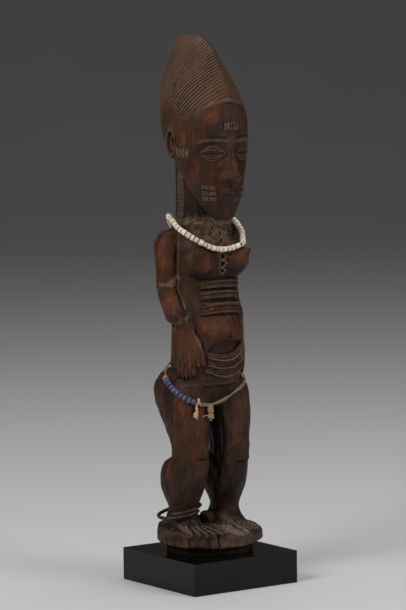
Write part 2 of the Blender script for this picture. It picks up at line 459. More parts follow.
def combing(x, y, z, hl):
    """Depth of the hair's cut lines, and where they stop short of the hairline."""
    ax = np.abs(x)
    wear = np.clip(0.78 + 0.42 * waves(x, y, z, 52, 16.0, 5), 0.25, 1.0)
    edge = smooth(1.6, 3.6, (z - hl) * 0.8)
    # front and sides: lines rising from the boundary behind the ear to the crest
    Y, Z = (y + 12) / 20, (z - 370) / 20
    Z = np.clip(Z, -1.6, 1.7)
    phi = -6.74 * Y - 4.32 * Z + 0.48 * Y * Y - 0.48 * Y * Z - 0.77 * Z * Z + 0.11 * Y ** 3 + 0.36 * Y * Y * Z - 0.51 * Y * Z * Z - 0.27 * Z ** 3 + 0.49 * Z ** 4
    tt = np.abs(np.mod(phi + 0.03 * np.sin(y * 0.6 + z * 0.23), 1.0) - 0.5) * 2
    bnd = 3.2 + 2.4 * smooth(350, 330, z) - 1.5 * smooth(372, 395, z)
    za = smooth(bnd + 0.9, bnd - 0.9, y)
    # fainter on the far side and towards the crest
    front_ = 1 - np.where(x > 0, 0.5, 0.48) * smooth(-15, -25, y)
    # rubbed away low down behind the temple
    low_ = smooth(-1.5, 4.5, z - (350.6 + 0.65 * y))
    front_ = front_ * low_
    ga = 0.78 * smooth(0.52, 0.0, tt) * smooth(0.3, 2.4, ax) * front_ * (1 - 0.35 * smooth(-8, 2, y) * smooth(376, 362, z))
    # back: fine upright lines
    ang = np.arctan2(x, y - 9.0)
    tb = np.abs(np.mod(ang * 62 / 2 / math.pi + 0.12 * np.sin(z * 0.2), 1.0) - 0.5) * 2
    gb = 0.80 * smooth(0.66, 0.0, tb) * smooth(7, 14, np.hypot(x, y - 9.0)) * np.clip(wear * 1.3 - 0.3 * smooth(345, 325, z), 0, 1)
    g = ga * za * (0.75 + 0.25 * wear) + gb * (1 - za)
    # a plain cut line along the boundary
    pale = (smooth(0.42, 0.72, tt) * za * smooth(0.6, 2.6, ax) * front_ + 1.5 * smooth(0.5, 0.85, tb) * (1 - za) * smooth(345, 360, z)) * edge * (0.55 + 0.45 * wear)
    return np.maximum(g, 0.5 * bump(y, bnd, 0.8) * smooth(400, 390, z) * low_), edge, pale


def hair_form(x, y, z, fine):
    ax = np.abs(x)
    crest = 2.3 * np.maximum(0, 1 - ax / 11) * smooth(352, 366, z) * smooth(405, 396, z) * smooth(6, -2, y)
    h = hair(x, y, z, 1.5) + 0.5 * smooth(352, 366, z) - crest
    hl = hairline(y)
    if fine:
        h = h + 0.12 * waves(x, y, z, 51, 10.0, 6)
        g, edge, _ = combing(x, y, z, hl)
        h = h + g * edge
        h = h - 0.55 * smooth(3.4, 2.2, (z - hl) * 0.8) * smooth(12, 4, y)
    if fine:
        h = np.where(ax > 17, smax(h, (1.04 - np.hypot((y - 4.5) / 5.6, (z - 325.5) / 10.5)) * 5.6, 1.6), h)
    # the coiffure stands as a small step over forehead and temples
    return smax(h, (hl - z) * 0.7, 1.0 if not fine else 0.7)


# ------------------------------------------------------------------ meshing the form
def chunked(fn, x, y, z, order=True):
    """fn over flat arrays, in slabs of similar height."""
    n = x.size
    out = np.empty(n, F32)
    idx = np.argsort(z, kind="stable") if order else np.arange(n)
    size = 400000
    for a in range(0, n, size):
        s = idx[a:a + size]
        out[s] = fn(x[s].astype(F32), y[s].astype(F32), z[s].astype(F32))
    return out


def surface(fn, lo, hi, h):
    """Surface nets over blocks near the surface. Returns vertices and quads."""
    B = 8
    lo = np.array(lo, float)
    nb = np.ceil((np.array(hi) - lo) / (B * h)).astype(int)
    n = nb * B + 1
    c = [lo[i] + (np.arange(nb[i]) + 0.5) * B * h for i in range(3)]
    gx, gy, gz = np.meshgrid(c[0], c[1], c[2], indexing="ij")
    v = chunked(fn, gx.ravel(), gy.ravel(), gz.ravel()).reshape(nb)
    near = np.abs(v) < B * h * 0.87 * 1.75 + 0.8
    G = np.where(v < 0, -9.0, 9.0).astype(F32)
    V = np.empty(n, F32)
    V[:-1, :-1, :-1] = G.repeat(B, 0).repeat(B, 1).repeat(B, 2)
    V[-1], V[:, -1], V[:, :, -1] = 9, 9, 9
    bi = np.argwhere(near)
    o = np.arange(B + 1)
    oi, oj, ok = [a.ravel() for a in np.meshgrid(o, o, o, indexing="ij")]
    order = np.argsort(bi[:, 2], kind="stable")
    bi = bi[order]
    per = max(1, 400000 // oi.size)
    for a in range(0, len(bi), per):
        s = bi[a:a + per] * B
        I, J, K = (s[:, 0, None] + oi).ravel(), (s[:, 1, None] + oj).ravel(), (s[:, 2, None] + ok).ravel()
        V[I, J, K] = fn((lo[0] + I * h).astype(F32), (lo[1] + J * h).astype(F32), (lo[2] + K * h).astype(F32))
    S = V < 0
    m = S[:-1, :-1, :-1].astype(np.int8)
    for di, dj, dk in ((1, 0, 0), (0, 1, 0), (1, 1, 0), (0, 0, 1), (1, 0, 1), (0, 1, 1), (1, 1, 1)):
        m += S[di:n[0] - 1 + di, dj:n[1] - 1 + dj, dk:n[2] - 1 + dk]
    cells = np.argwhere((m > 0) & (m < 8))
    ci, cj, ck = cells.T
    acc, cnt = np.zeros((len(cells), 3)), np.zeros(len(cells))
    corner = [(0, 0, 0), (1, 0, 0), (0, 1, 0), (1, 1, 0), (0, 0, 1), (1, 0, 1), (0, 1, 1), (1, 1, 1)]
    f = [V[ci + a, cj + b, ck + c_].astype(float) for a, b, c_ in corner]
    for a, b in ((0, 1), (2, 3), (4, 5), (6, 7), (0, 2), (1, 3), (4, 6), (5, 7), (0, 4), (1, 5), (2, 6), (3, 7)):
        x = (f[a] < 0) != (f[b] < 0)
        t = np.where(x, f[a] / np.where(x, f[a] - f[b], 1), 0)
        for q in range(3):
            acc[:, q] += np.where(x, corner[a][q] + (corner[b][q] - corner[a][q]) * t, 0)
        cnt += x
    P = lo + (cells + acc / cnt[:, None]) * h
    vid = np.full(m.shape, -1, np.int32)
    vid[ci, cj, ck] = np.arange(len(cells), dtype=np.int32)
    quads = []
    for axis in range(3):
        s0 = [slice(1, -1)] * 3
        s1 = [slice(1, -1)] * 3
        s1[axis] = slice(2, None)
        e = np.argwhere(S[tuple(s0)] != S[tuple(s1)]) + 1
        if axis == 0:
            q = [(0, -1, -1), (0, 0, -1), (0, 0, 0), (0, -1, 0)]
        elif axis == 1:
            q = [(-1, 0, -1), (-1, 0, 0), (0, 0, 0), (0, 0, -1)]
        else:
            q = [(-1, -1, 0), (0, -1, 0), (0, 0, 0), (-1, 0, 0)]
        Q = np.stack([vid[e[:, 0] + a, e[:, 1] + b, e[:, 2] + c_] for a, b, c_ in q], 1)
        flip = ~S[e[:, 0], e[:, 1], e[:, 2]]
        Q[flip] = Q[flip][:, ::-1]
        quads.append(Q)
    return P, np.concatenate(quads)


def gradient(fn, P, h=0.12):
    x, y, z = P.T
    g = np.empty_like(P)
    for i in range(3):
        d = np.zeros(3)
        d[i] = h
        g[:, i] = (chunked(fn, x + d[0], y + d[1], z + d[2]).astype(float) - chunked(fn, x - d[0], y - d[1], z - d[2])) / (2 * h)
    return g


def settle(fn, P, reach, rounds=2):
    for _ in range(rounds):
        d = chunked(fn, *P.T).astype(float)
        g = gradient(fn, P)
        l2 = np.maximum((g * g).sum(1), 0.25)
        step = np.clip(d / l2, -reach, reach)
        P = P - g * step[:, None]
    return P


def make_mesh(name, P, faces, lift=LIFT):
    me = bpy.data.meshes.new(name)
    W = (P + [0, 0, lift]) / 1000.0
    me.vertices.add(len(W))
    me.vertices.foreach_set("co", W.astype(F32).ravel())
    faces = np.asarray(faces)
    k = faces.shape[1]
    me.loops.add(faces.size)
    me.loops.foreach_set("vertex_index", faces.astype(np.int32).ravel())
    me.polygons.add(len(faces))
    me.polygons.foreach_set("loop_start", (np.arange(len(faces)) * k).astype(np.int32))
    me.polygons.foreach_set("loop_total", np.full(len(faces), k, np.int32))
    me.update(calc_edges=True)
    me.validate()
    ob = bpy.data.objects.new(name, me)
    bpy.context.scene.collection.objects.link(ob)
    me.polygons.foreach_set("use_smooth", np.ones(len(me.polygons), bool))
    return ob


def thin_out(ob, target):
    n = sum(len(p.vertices) - 2 for p in ob.data.polygons)
    if n > target:
        md = ob.modifiers.new("thin", "DECIMATE")
        md.ratio = target / n
        dg = bpy.context.evaluated_depsgraph_get()
        me = bpy.data.meshes.new_from_object(ob.evaluated_get(dg))
        old = ob.data
        ob.modifiers.clear()
        ob.data = me
        me.name = old.name
        bpy.data.meshes.remove(old)
    me = ob.data
    me.polygons.foreach_set("use_smooth", np.ones(len(me.polygons), bool))
    return ob


def coords(ob):
    a = np.empty(len(ob.data.vertices) * 3, F32)
    ob.data.vertices.foreach_get("co", a)
    return a.reshape(-1, 3).astype(float) * 1000 - [0, 0, LIFT]


def set_coords(ob, P):
    ob.data.vertices.foreach_set("co", ((P + [0, 0, LIFT]) / 1000).astype(F32).ravel())
    ob.data.update()


def attribute(ob, name, values):
    a = ob.data.attributes.new(name, "FLOAT", "POINT")
    a.data.foreach_set("value", np.asarray(values, F32))


def carve(name, fn, lo, hi, h, target):
    P, Q = surface(fn, lo, hi, h)
    P = settle(fn, P, h * 0.6, 1)
    ob = make_mesh(name, P, Q)
    thin_out(ob, target)
    P = settle(fn, coords(ob), h * 0.5, 1)
    set_coords(ob, P)
    return ob, P


def patina(ob, P, fn, dark=0):
    """Hollows, edges and dusty places, kept on the points for the wood's colour."""
    g = gradient(fn, P)
    N = g / np.maximum(np.linalg.norm(g, axis=1), 1e-6)[:, None]
    out = []
    for dist in (0.7, 2.6, 7.0):
        v = chunked(fn, *(P + N * dist).T).astype(float)
        out.append(np.clip(1 - v / dist, -1, 1))
    inn = chunked(fn, *(P - N * 1.1).T).astype(float)
    attribute(ob, "nick", np.clip(out[0] * 1.5, 0, 1))
    calm = 1 - 0.88 * smooth(15, 9, np.sqrt((P[:, 1] - 4.5) ** 2 + (P[:, 2] - 325.5) ** 2)) * smooth(18, 22, np.abs(P[:, 0]))
    attribute(ob, "hollow", np.clip(np.maximum(out[1] * 1.25 * calm, dark), 0, 1))
    attribute(ob, "deep", np.clip(out[2] * 1.15 * calm, 0, 1))
    attribute(ob, "edge", np.clip((1 + inn / 1.1) * 1.6, 0, 1))
    return N


Q_BODY, Q_HAIR = ((0.62, 0.44))
T_BODY, T_HAIR = ((197000, 190000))
body_fn = lambda x, y, z: form(x, y, z, True, "body")
hair_fn = lambda x, y, z: form(x, y, z, True, "hair")
all_fn = lambda x, y, z: form(x, y, z, True, "all")
plain_fn = lambda x, y, z: form(x, y, z, False, "all")

carving, PB = carve("carving", body_fn, (-48, -48, -1.4), (48, 52, 372), Q_BODY, T_BODY)


def near(P, route, width):
    """1 on the route, falling to 0 at the width."""
    best = np.full(len(P), 1e9)
    R = np.array(route, float)
    for a, b in zip(R[:-1], R[1:]):
        t = np.clip(((P - a) @ (b - a)) / ((b - a) @ (b - a)), 0, 1)
        best = np.minimum(best, ((P - a - t[:, None] * (b - a)) ** 2).sum(1))
    return smooth(width, width * 0.35, np.sqrt(best))


def blackened(P):
    """Cut pits and undercuts that hold black patina."""
    x, y, z = P.T
    ax = np.abs(x)
    p, _ = marks(x, z)
    v = p * (y < 0) * (ax < 18) * (z > 217) * (z < 262)
    pit = np.maximum(bump(np.mod(z, 3.2), 1.6, 1.3) * bump(y, 11.0, 1.5), bump(np.mod(z + 1.6, 3.2), 1.6, 1.3) * bump(y, 14.2, 1.5))
    v = np.maximum(v, pit * (ax > 9) * (ax < 18) * (z > 264.5) * (z < 308))
    v = np.maximum(v, smooth(6.5, 3.0, z))
    reach, fr, bowl, _ = folds(x, y, z)
    v = np.maximum(v, 0.75 * reach * np.maximum(smooth(0.10, 0.02, fr), np.maximum(0.8 * smooth(0.90, 0.97, fr), 0.6 * np.maximum(bump(fr, 0.44, 0.11), bump(fr, 0.76, 0.09)))))
    v = np.maximum(v, 0.55 * bowl)
    # bare black foot of the base, and the inner faces of the legs
    v = np.maximum(v, 0.9 * smooth(10.5, 7.0, z) * (np.hypot(x, y) < 41.2))
    for toes, sg in ((TOES_R, -1), (TOES_L, 1)):
        mx = (toes[0][0] + toes[4][0]) / 2
        for (t0x, t0y), (t1x, t1y) in zip(toes[:-1], toes[1:]):
            tx, ty = (t0x + t1x) / 2, (t0y + t1y) / 2
            ra = (sg * 20.5 + (tx - sg * 20.5) * 0.45 + (tx - mx) * 0.30, 2 + (ty - 2) * 0.50 - 1.4, 21.0)
            v = np.maximum(v, 0.75 * near(P, [ra, (tx, ty, 18.0)], 1.6))
    v = np.maximum(v, 0.85 * smooth(228, 220, z) * smooth(214, 217, z) * smooth(3, 7, ax) * smooth(31, 28, ax) * (y < -14))
    v = np.maximum(v, 0.45 * smooth(14, 6, np.sqrt((x + 20) ** 2 + (y + 9) ** 2 + (z - 27) ** 2)))
    v = np.maximum(v, 0.32 * smooth(261, 265, z) * smooth(312, 302, z) * smooth(19, 17, np.hypot(x, y - 12)) * (np.abs(y - 12.6) > 3.4))
    return np.maximum(v, 0.95 * smooth(9.5, 6, np.abs(x)) * smooth(52, 66, z) * smooth(128, 116, z))


def handled(P):
    """Broad places rubbed redder by hands."""
    x, y, z = P.T
    ax = np.abs(x)
    v = np.zeros(len(P))
    for cx, cy, cz, r, k in ((15, -30, 346, 15, 0.35), (24, -14, 333, 13, 0.45), (34, 8, 236, 15, 1.0), (32, 3, 198, 16, 1.0), (18, -22, 234, 12, 0.8), (8, -20, 184, 17, 0.7),
                             (24, -14, 170, 15, 0.8), (20, -14, 108, 26, 0.75), (20, -14, 84, 16, 0.45), (24, -17, 154, 13, 1.0), (0, -34, 330, 9, 0.4), (12, -32, 296, 10, 0.3), (22, 30, 120, 24, 0.5), (10, 24, 230, 26, 0.5)):
        d = np.sqrt((ax - cx) ** 2 + (y - cy) ** 2 + (z - cz) ** 2)
        v = np.maximum(v, k * smooth(r, r * 0.25, d))
    return v


def darkened(P):
    """Broad zones where the wood is darker and greyer: legs below the knee, neck, flanks and cheeks."""
    x, y, z = P.T
    ax = np.abs(x)
    v = 0.90 * smooth(82, 62, z) * smooth(10, 14, z) + 1.3 * smooth(11, 8, z) * (np.hypot(x, y) < 41.4) + 0.35 * smooth(135, 115, z) * smooth(0, 6, x)
    v = np.maximum(v, 1.30 * smooth(259, 263, z) * smooth(312, 300, z) * smooth(19, 17, np.hypot(x, y - 12)))
    v = np.maximum(v, 0.42 * smooth(328, 334, z) * smooth(-8, -18, y))
    v = np.maximum(v, 0.25 * smooth(215, 208, z) * smooth(181, 186, z) * smooth(28, 32, ax))
    v = np.maximum(v, 0.55 * smooth(16.8, 17.6, z) * smooth(24, 20, z))
    v = np.maximum(v, (0.22 + 0.42 * (x > 0)) * smooth(64, 80, z) * smooth(138, 128, z))
    # instep of the right foot, and the hollow under each breast
    v = np.maximum(v, 1.1 * smooth(15, 7, np.sqrt((x + 20) ** 2 + (y + 9) ** 2 + (z - 27) ** 2)))
    v = np.maximum(v, 1.2 * smooth(231, 222, z) * smooth(214, 217, z) * smooth(3, 7, ax) * smooth(31, 28, ax) * smooth(-12, -16, y))
    v = np.maximum(v, 0.5 * smooth(242, 238, z) * smooth(190, 200, z) * smooth(20, 24, ax) * smooth(29, 25, ax) * smooth(10, 2, y))
    v = np.maximum(v, 0.45 * smooth(228, 221, z) * smooth(216, 219, z))
    v = np.maximum(v, 0.65 * smooth(330, 300, z) * smooth(263, 268, z) * smooth(-36, -24, y))
    v = np.maximum(v, 0.45 * smooth(140, 134, z) * smooth(120, 128, z))
    return np.clip(v * (1 + 0.25 * waves(x, y, z, 61, 14.0, 5)), 0, 1.35)


NB = patina(carving, PB, all_fn, blackened(PB))
attribute(carving, "warm", handled(PB))
attribute(carving, "dark", darkened(PB))
coiffure, PH = carve("coiffure", hair_fn, (-36, -42, 299), (36, 48, 411), Q_HAIR, T_HAIR)
NH = patina(coiffure, PH, all_fn)
attribute(coiffure, "warm", 0.35 * smooth(-13, -24, PH[:, 1]) + 0.5 * smooth(352, 335, PH[:, 2]) * smooth(12, 0, PH[:, 1]))
attribute(coiffure, "dark", 0.6 * smooth(340, 322, PH[:, 2]))


def dusty(P, N):
    """Where pale dust lies: arm and hand borders, neck ring and strips, cut marks, the top of the base."""
    x, y, z = P.T
    ax = np.abs(x)
    M = P * [-1, 1, 1]
    M[:, 0] = -ax
    far = np.where(x > 0, 0.7, 1.0)
    up = np.clip(N[:, 2], 0, 1)
    v = 1.4 * bump(z, 262.0, 3.5) * (0.6 + 0.4 * smooth(30, 10, y))
    v = np.maximum(v, far * 0.9 * near(M, [(-24.3, 4, 252.3), (-26.9, 0.4, 244.8), (-26.9, 0.7, 236.9), (-26.9, 0.9, 229), (-26.5, 1.7, 221), (-27.2, 2.6, 216.5), (-26.3, 2.1, 209.9), (-25.7, -5, 199.3), (-28, -12.2, 187)], 1.5) * (0.55 + 0.45 * smooth(232, 218, z)))
    v = np.maximum(v, far * near(M, [(-37.6, 10.5, 213.2), (-35, 6.5, 213.4), (-32.6, 4, 214.1)], 2.0))
    v = np.maximum(v, far * near(M, [(-31.6, 3.6, 214.4), (-28.6, 2.9, 215.5), (-26.8, 1.9, 219)], 3.8))
    v = np.maximum(v, far * 0.7 * near(M, [(-26.7, 6.8, 178.6), (-30.5, 0, 182.8), (-31.2, -7.2, 184.9), (-24.7, -8.8, 186.1)], 1.8))
    v = np.maximum(v, far * 0.8 * near(M, [(-24.7, -8.8, 186.1), (-24.1, -16, 177.3), (-21.4, -20.1, 167.2), (-18.6, -20.9, 161.5), (-17.0, -21.2, 154)], 1.7))
    u = -0.817 * ax - 0.577 * y
    on_hand = smooth(-24.8, -24.0, u) * smooth(0, -3, u) * smooth(6, 2, y)
    for c in (-21.8, -18.4, -15.2, -12.2, -9.4, -5.4):
        v = np.maximum(v, far * 0.75 * bump(u, c + 0.35 * np.sin(z * 0.55 + c), 0.8) * smooth(164, 157, z) * (smooth(142, 144, z) if c < -10 else smooth(151.5, 153.5, z)) * on_hand)
    v = np.maximum(v, 0.46 * smooth(3.9, 3.2, np.abs(y - 12.6)) * smooth(9, 11, ax) * smooth(263, 265, z) * smooth(306, 300, z) * (ax < 18))
    p, f = marks(x, z)
    v = np.maximum(v, (1.0 * f - p) * (y < -1) * (ax < 18) * (z > 217) * (z < 262))
    v = np.maximum(v, 0.55 * bump(z, 259.5, 2.0) * smooth(10, 2, y) * smooth(4, 10, x))
    # ashy breast under the throat
    v = np.maximum(v, 0.78 * smooth(19, 11, ax) * smooth(243, 249, z) * smooth(261, 259, z) * smooth(4, 0, y) * (0.65 + 0.6 * waves(x, y, z, 62, 4.0, 6)))
    # raised ornament of the head
    comb = smooth(6.9, 6.3, ax) * smooth(3.2, 2.6, np.abs(z - 338.6)) * (y < -20) * (1 - bump(np.mod(x + 6.25, 2.5), 1.25, 0.62))
    block = smooth(-17.4, -16.7, y) * smooth(-4.4, -5.1, y) * smooth(4.1, 3.4, np.abs(z - 318)) * (ax > 18) * (1 - np.maximum(np.maximum(bump(y, -14.2, 0.85), bump(y, -11.0, 0.85)), bump(y, -7.8, 0.85)))
    sarc = ax * 0.8 + (y + 33) * 0.6
    bars = 0
    for zc in (290.6, 286.2, 281.8):
        zz = z - zc - 0.10 * (sarc - 15)
        bars = np.maximum(bars, smooth(1.9, 1.2, np.abs(zz)) * (1 - 0.9 * bump(np.mod(sarc, 3.6), 1.8, 0.6)) * (1 - bump(zz, 0, 0.5)))
    bars = bars * smooth(10.6, 11.6, sarc) * smooth(22.4, 21.2, sarc) * (y < -12)
    v = np.maximum(v, np.maximum(np.maximum(0.75 * comb, 0.6 * block), 0.65 * bars))
    arc_ = 31.0 * np.arctan2(ax, -(y - 0.5))
    q = (arc_ - 13.6) / 9.4
    half = np.maximum(5.7 * (1 - q * q), 0.25)
    lids = np.maximum(bump(np.abs(z - 317.6), half, 0.75), 0.8 * bump(np.abs(z - 317.6), half * 0.58, 0.6)) * smooth(1.0, 0.9, np.abs(q)) * (y < -8)
    v = np.maximum(v, 0.55 * lids)
    v = np.maximum(v, 0.5 * bump(z, 325.6 + 2.6 * (1 - ((arc_ - 13) / 13) ** 2), 1.2) * smooth(27, 22, arc_) * smooth(1.0, 4.5, arc_) * (y < -8))
    # ear rim
    ea = np.hypot((y - 4.5) / 5.6, (z - 325.5) / 10.5)
    v = np.maximum(v, 0.4 * bump((ea - 1) * 7.2, 0, 1.3) * (ax > 27))
    v = np.maximum(v, 0.28 * smooth(1.0, 0.8, ea) * (ax > 20))
    # hems of the folds, and the bars' upper edges
    reach, fr, bowl, _ = folds(x, y, z)
    v = np.maximum(v, 0.90 * reach * np.maximum(bump(fr, 0.19, 0.10), 0.8 * np.maximum(bump(fr, 0.58, 0.08), bump(fr, 0.88, 0.07))))
    v = np.maximum(v, 0.6 * reach * bump(fr, 0.30, 0.06))
    for zb, hb in ((213.2, 2.9), (205, 2.9), (194.4, 4.2)):
        zz = z - zb - 0.8 + 0.003 * x * x
        e_ = np.maximum(bump(zz, hb - 0.5, 0.7), np.maximum(0.7 * bump(zz, -hb + 0.5, 0.6), 0.6 * bump(zz, 0.25 * hb + 0.9, 0.45)))
        v = np.maximum(v, 0.62 * e_ * smooth(19.2, 18, np.abs(x - 1.4)) * (y < -10))
    mid = 1.1 * near(P * [1, 1, 0], [(15, 34, 0), (8.5, 8, 0), (6.8, -11.6, 0), (5.0, -37.8, 0)], 9.0)
    v = np.maximum(v, mid * smooth(15, 17, z) * smooth(30, 27, z) * np.clip(0.5 + 0.6 * up, 0, 1) * np.clip(0.95 + 0.5 * waves(x, y, z, 63, 6.0, 5), 0, 1))
    v = np.maximum(v, 0.26 * (np.hypot(x, y) > 38.5) * smooth(17, 14, z) * smooth(7, 9, z) * smooth(-26, -8, x) * (y < 0))
    v = np.maximum(v, np.clip(0.6 + 0.5 * waves(x, y, z, 66, 3.0, 5), 0, 1) * near(P, [(-32.1, 3.3, 23.7), (-31.4, -7.9, 20.3), (-34.5, -20.4, 18.8)], 2.2))
    v = np.maximum(v, 0.75 * smooth(12, 5, np.sqrt((x - 9) ** 2 + (y - 10) ** 2 + (z - 25) ** 2)) * smooth(-0.4, 0.7, waves(x, y, z, 68, 3.2, 7)))
    # scattered dust on feet and disc
    v = np.maximum(v, 0.45 * smooth(0.25, 0.9, waves(x, y, z, 67, 3.6, 7)) * smooth(14, 17, z) * smooth(34, 26, z) * up)
    for toes, sg in ((TOES_R, -1), (TOES_L, 1)):
        mx, my = (toes[0][0] + toes[4][0]) / 2, (toes[0][1] + toes[4][1]) / 2
        for tx, ty in toes:
            ra = (sg * 20.5 + (tx - sg * 20.5) * 0.30 + (tx - mx) * 0.42, 2 + (ty - 2) * 0.30 - 1.4, 22.4)
            v = np.maximum(v, np.clip(0.9 + 0.35 * waves(x, y, z, 65, 4.5, 5), 0, 1) * near(P, [ra, (tx * 0.985, ty * 0.985, 19.0)], 1.25))
    v = np.maximum(v, 0.22 * bump(z, 134.6, 2.0) * smooth(-2, -8, y))
    return np.clip(v, 0, 1)


attribute(carving, "dust", dusty(PB, NB))
attribute(carving, "base", smooth(22, 17, PB[:, 2]))
xh, yh, zh = PH.T
line, clear, pale = combing(xh, yh, zh, hairline(yh))
step = bump((zh - hairline(yh)) * 0.8, 1.6, 1.6) * smooth(0, -12, yh) * (0.6 + 0.5 * waves(xh, yh, zh, 64, 7.0, 5))
attribute(coiffure, "dust", np.clip(np.maximum(pale, 0.75 * step), 0, 1))
attribute(coiffure, "base", np.clip(line / 0.62, 0, 1) * clear)
print("carving", len(carving.data.polygons), "coiffure", len(coiffure.data.polygons))


# ------------------------------------------------------------------ strings and beads
def catmull(C, n, closed=True):
    """Centripetal curve through C, n points evenly spaced along it."""
    C = np.asarray(C, float)
    m = len(C)
    out = []
    segs = m if closed else m - 1
    for i in range(segs):
        if closed:
            p0, p1, p2, p3 = C[(i - 1) % m], C[i], C[(i + 1) % m], C[(i + 2) % m]
        else:
            p1, p2 = C[i], C[i + 1]
            p0 = C[i - 1] if i else 2 * p1 - p2
            p3 = C[i + 2] if i + 2 < m else 2 * p2 - p1
        d0, d1, d2 = [max(np.linalg.norm(b - a), 1e-4) ** 0.5 for a, b in ((p0, p1), (p1, p2), (p2, p3))]
        t1 = ((p1 - p0) / d0 - (p2 - p0) / (d0 + d1) + (p2 - p1) / d1) * d1
        t2 = ((p2 - p1) / d1 - (p3 - p1) / (d1 + d2) + (p3 - p2) / d2) * d1
        for t in np.arange(0, 1, 1 / 24):
            out.append((2 * t ** 3 - 3 * t ** 2 + 1) * p1 + (t ** 3 - 2 * t ** 2 + t) * t1 + (-2 * t ** 3 + 3 * t ** 2) * p2 + (t ** 3 - t ** 2) * t2)
    if closed:
        out.append(out[0])
    else:
        out.append(C[-1])
    out = np.array(out)
    s = np.concatenate([[0], np.cumsum(np.linalg.norm(np.diff(out, axis=0), axis=1))])
    q = np.linspace(0, s[-1], n + 1)[:n] if closed else np.linspace(0, s[-1], n)
    return np.stack([np.interp(q, s, out[:, i]) for i in range(3)], 1)


def drape(control, samples, off, level=-1e9):
    P = catmull(control, samples)
    need0 = off(np.arange(samples) / samples)

    def push(P):
        P = P.copy()
        for _ in range(4):
            v = plain_fn(*P.T.astype(F32)).astype(float)
            need = need0 - v
            g = np.stack([plain_fn(*(P + e).T.astype(F32)).astype(float) - v for e in np.eye(3) * 0.4], 1)
            g /= np.maximum(np.linalg.norm(g, axis=1), 1e-6)[:, None]
            low = P[:, 2] < level
            g[low, 2] = 0
            g[low] /= np.maximum((g[low] ** 2).sum(1), 0.35)[:, None]
            P += g * np.where(need > 0.01, need, 0)[:, None]
        return P
    for _ in range(5):
        P = push(P)
        P = P * 0.5 + np.roll(P, 1, 0) * 0.25 + np.roll(P, -1, 0) * 0.25
    return push(P)


NECK_ROUTE = [
    [0, -20.5, 241.2], [-10, -20.8, 243.2], [-19, -18.6, 248.0], [-25.6, -12.5, 253.2], [-29.4, -3.5, 258.6], [-28.9, 5.5, 264.2], [-26.0, 14.5, 267.0], [-18.6, 22.6, 261.0],
    [-8.5, 28.5, 253.5], [0, 29.5, 252], [8.5, 28.5, 253.5], [17.5, 24, 258], [24.5, 15.5, 262], [28, 6, 262.4], [29.3, -3, 257.5], [27.8, -11, 251], [19.8, -18.2, 244.8], [10, -20.6, 241.6]]
WAIST_ROUTE = [
    [-2, -17.2, 119.6], [-10.6, -17, 118.8], [-19, -17.2, 119.4], [-26.1, -15.7, 121.9], [-31.4, -11, 125.6], [-34.3, -4.3, 130.6], [-34.6, 3, 135.5], [-32.9, 10, 140.4],
    [-27, 19, 146], [-16, 26, 149.5], [0, 27.5, 150], [16, 26, 149.5], [27, 19, 146], [32, 9, 142], [32.4, 0, 139], [30, -7, 136], [24, -13.5, 132], [15, -16.6, 127.5], [6.9, -17, 123]]


def node_points(name):
    o = frame["nodes"][name]
    a = np.empty(len(o.data.vertices) * 3, F32)
    o.data.vertices.foreach_get("co", a)
    P = a.reshape(-1, 3).astype(float)
    M = np.array(o.matrix_world)
    P = P @ M[:3, :3].T + M[:3, 3]
    return P * 1000 - [0, 0, LIFT]


class Parts:
    """Collects many small closed forms into one piece."""

    def __init__(self):
        self.v, self.f, self.a, self.n = [], [], [], 0

    def add(self, P, faces, value):
        self.v.append(P)
        self.f += [tuple(i + self.n for i in q) for q in faces]
        self.a.append(np.full(len(P), value))
        self.n += len(P)

    def build(self, name):
        me = bpy.data.meshes.new(name)
        W = (np.concatenate(self.v) + [0, 0, LIFT]) / 1000
        me.from_pydata(W.tolist(), [], self.f)
        me.update()
        me.polygons.foreach_set("use_smooth", np.ones(len(me.polygons), bool))
        ob = bpy.data.objects.new(name, me)
        bpy.context.scene.collection.objects.link(ob)
        attribute(ob, "shade", np.concatenate(self.a))
        return ob


def frame_of(axis):
    axis = axis / np.linalg.norm(axis)
    up = np.array([0, 0, 1.0]) if abs(axis[2]) < 0.9 else np.array([1.0, 0, 0])
    u = np.cross(up, axis)
    u /= np.linalg.norm(u)
    return u, np.cross(axis, u), axis


def bead(parts, centre, axis, radius, length, rs, bore=0.75, value=0.0):
    """A hand-made glass bead: a barrel with soft uneven ends and a bore."""
    u, v, w = frame_of(axis)
    n = 24
    h, e = length / 2, min(0.55, length * 0.2)
    prof = []
    for t in np.linspace(0, 1, 4):
        prof.append((bore + 0.12 + (radius - e - bore - 0.12) * t, -h + 0.10 * (1 - t)))
    for t in np.linspace(0.15, 1, 4):
        a = t * math.pi / 2
        prof.append((radius - e + e * math.sin(a), -h + e - e * math.cos(a)))
    prof.append((radius * 1.012, 0))
    prof += [(r, -z) for r, z in reversed(prof[:-1])]
    for z in (h * 0.5, 0, -h * 0.5):
        prof.append((bore, z))
    ph = rs.uniform(0, 6.28, 6)
    am = rs.uniform(0.2, 1, 6)
    tilt = rs.uniform(-0.07, 0.07, 2)
    P = []
    for r, z in prof:
        for i in range(n):
            a = i / n * 2 * math.pi
            rr = r * (1 + 0.022 * am[0] * math.sin(2 * a + ph[0]) + 0.016 * am[1] * math.sin(3 * a + ph[1] + z) + 0.008 * math.sin(5 * a + ph[2]))
            zz = z + 0.07 * am[3] * math.sin(a + ph[3]) * (abs(z) / h) + r * (tilt[0] * math.cos(a) + tilt[1] * math.sin(a)) * (abs(z) / h)
            P.append(centre + u * rr * math.cos(a) + v * rr * math.sin(a) + w * zz)
    m = len(prof)
    faces = [(j * n + i, j * n + (i + 1) % n, ((j + 1) % m) * n + (i + 1) % n, ((j + 1) % m) * n + i) for j in range(m) for i in range(n)]
    parts.add(np.array(P), faces, value)


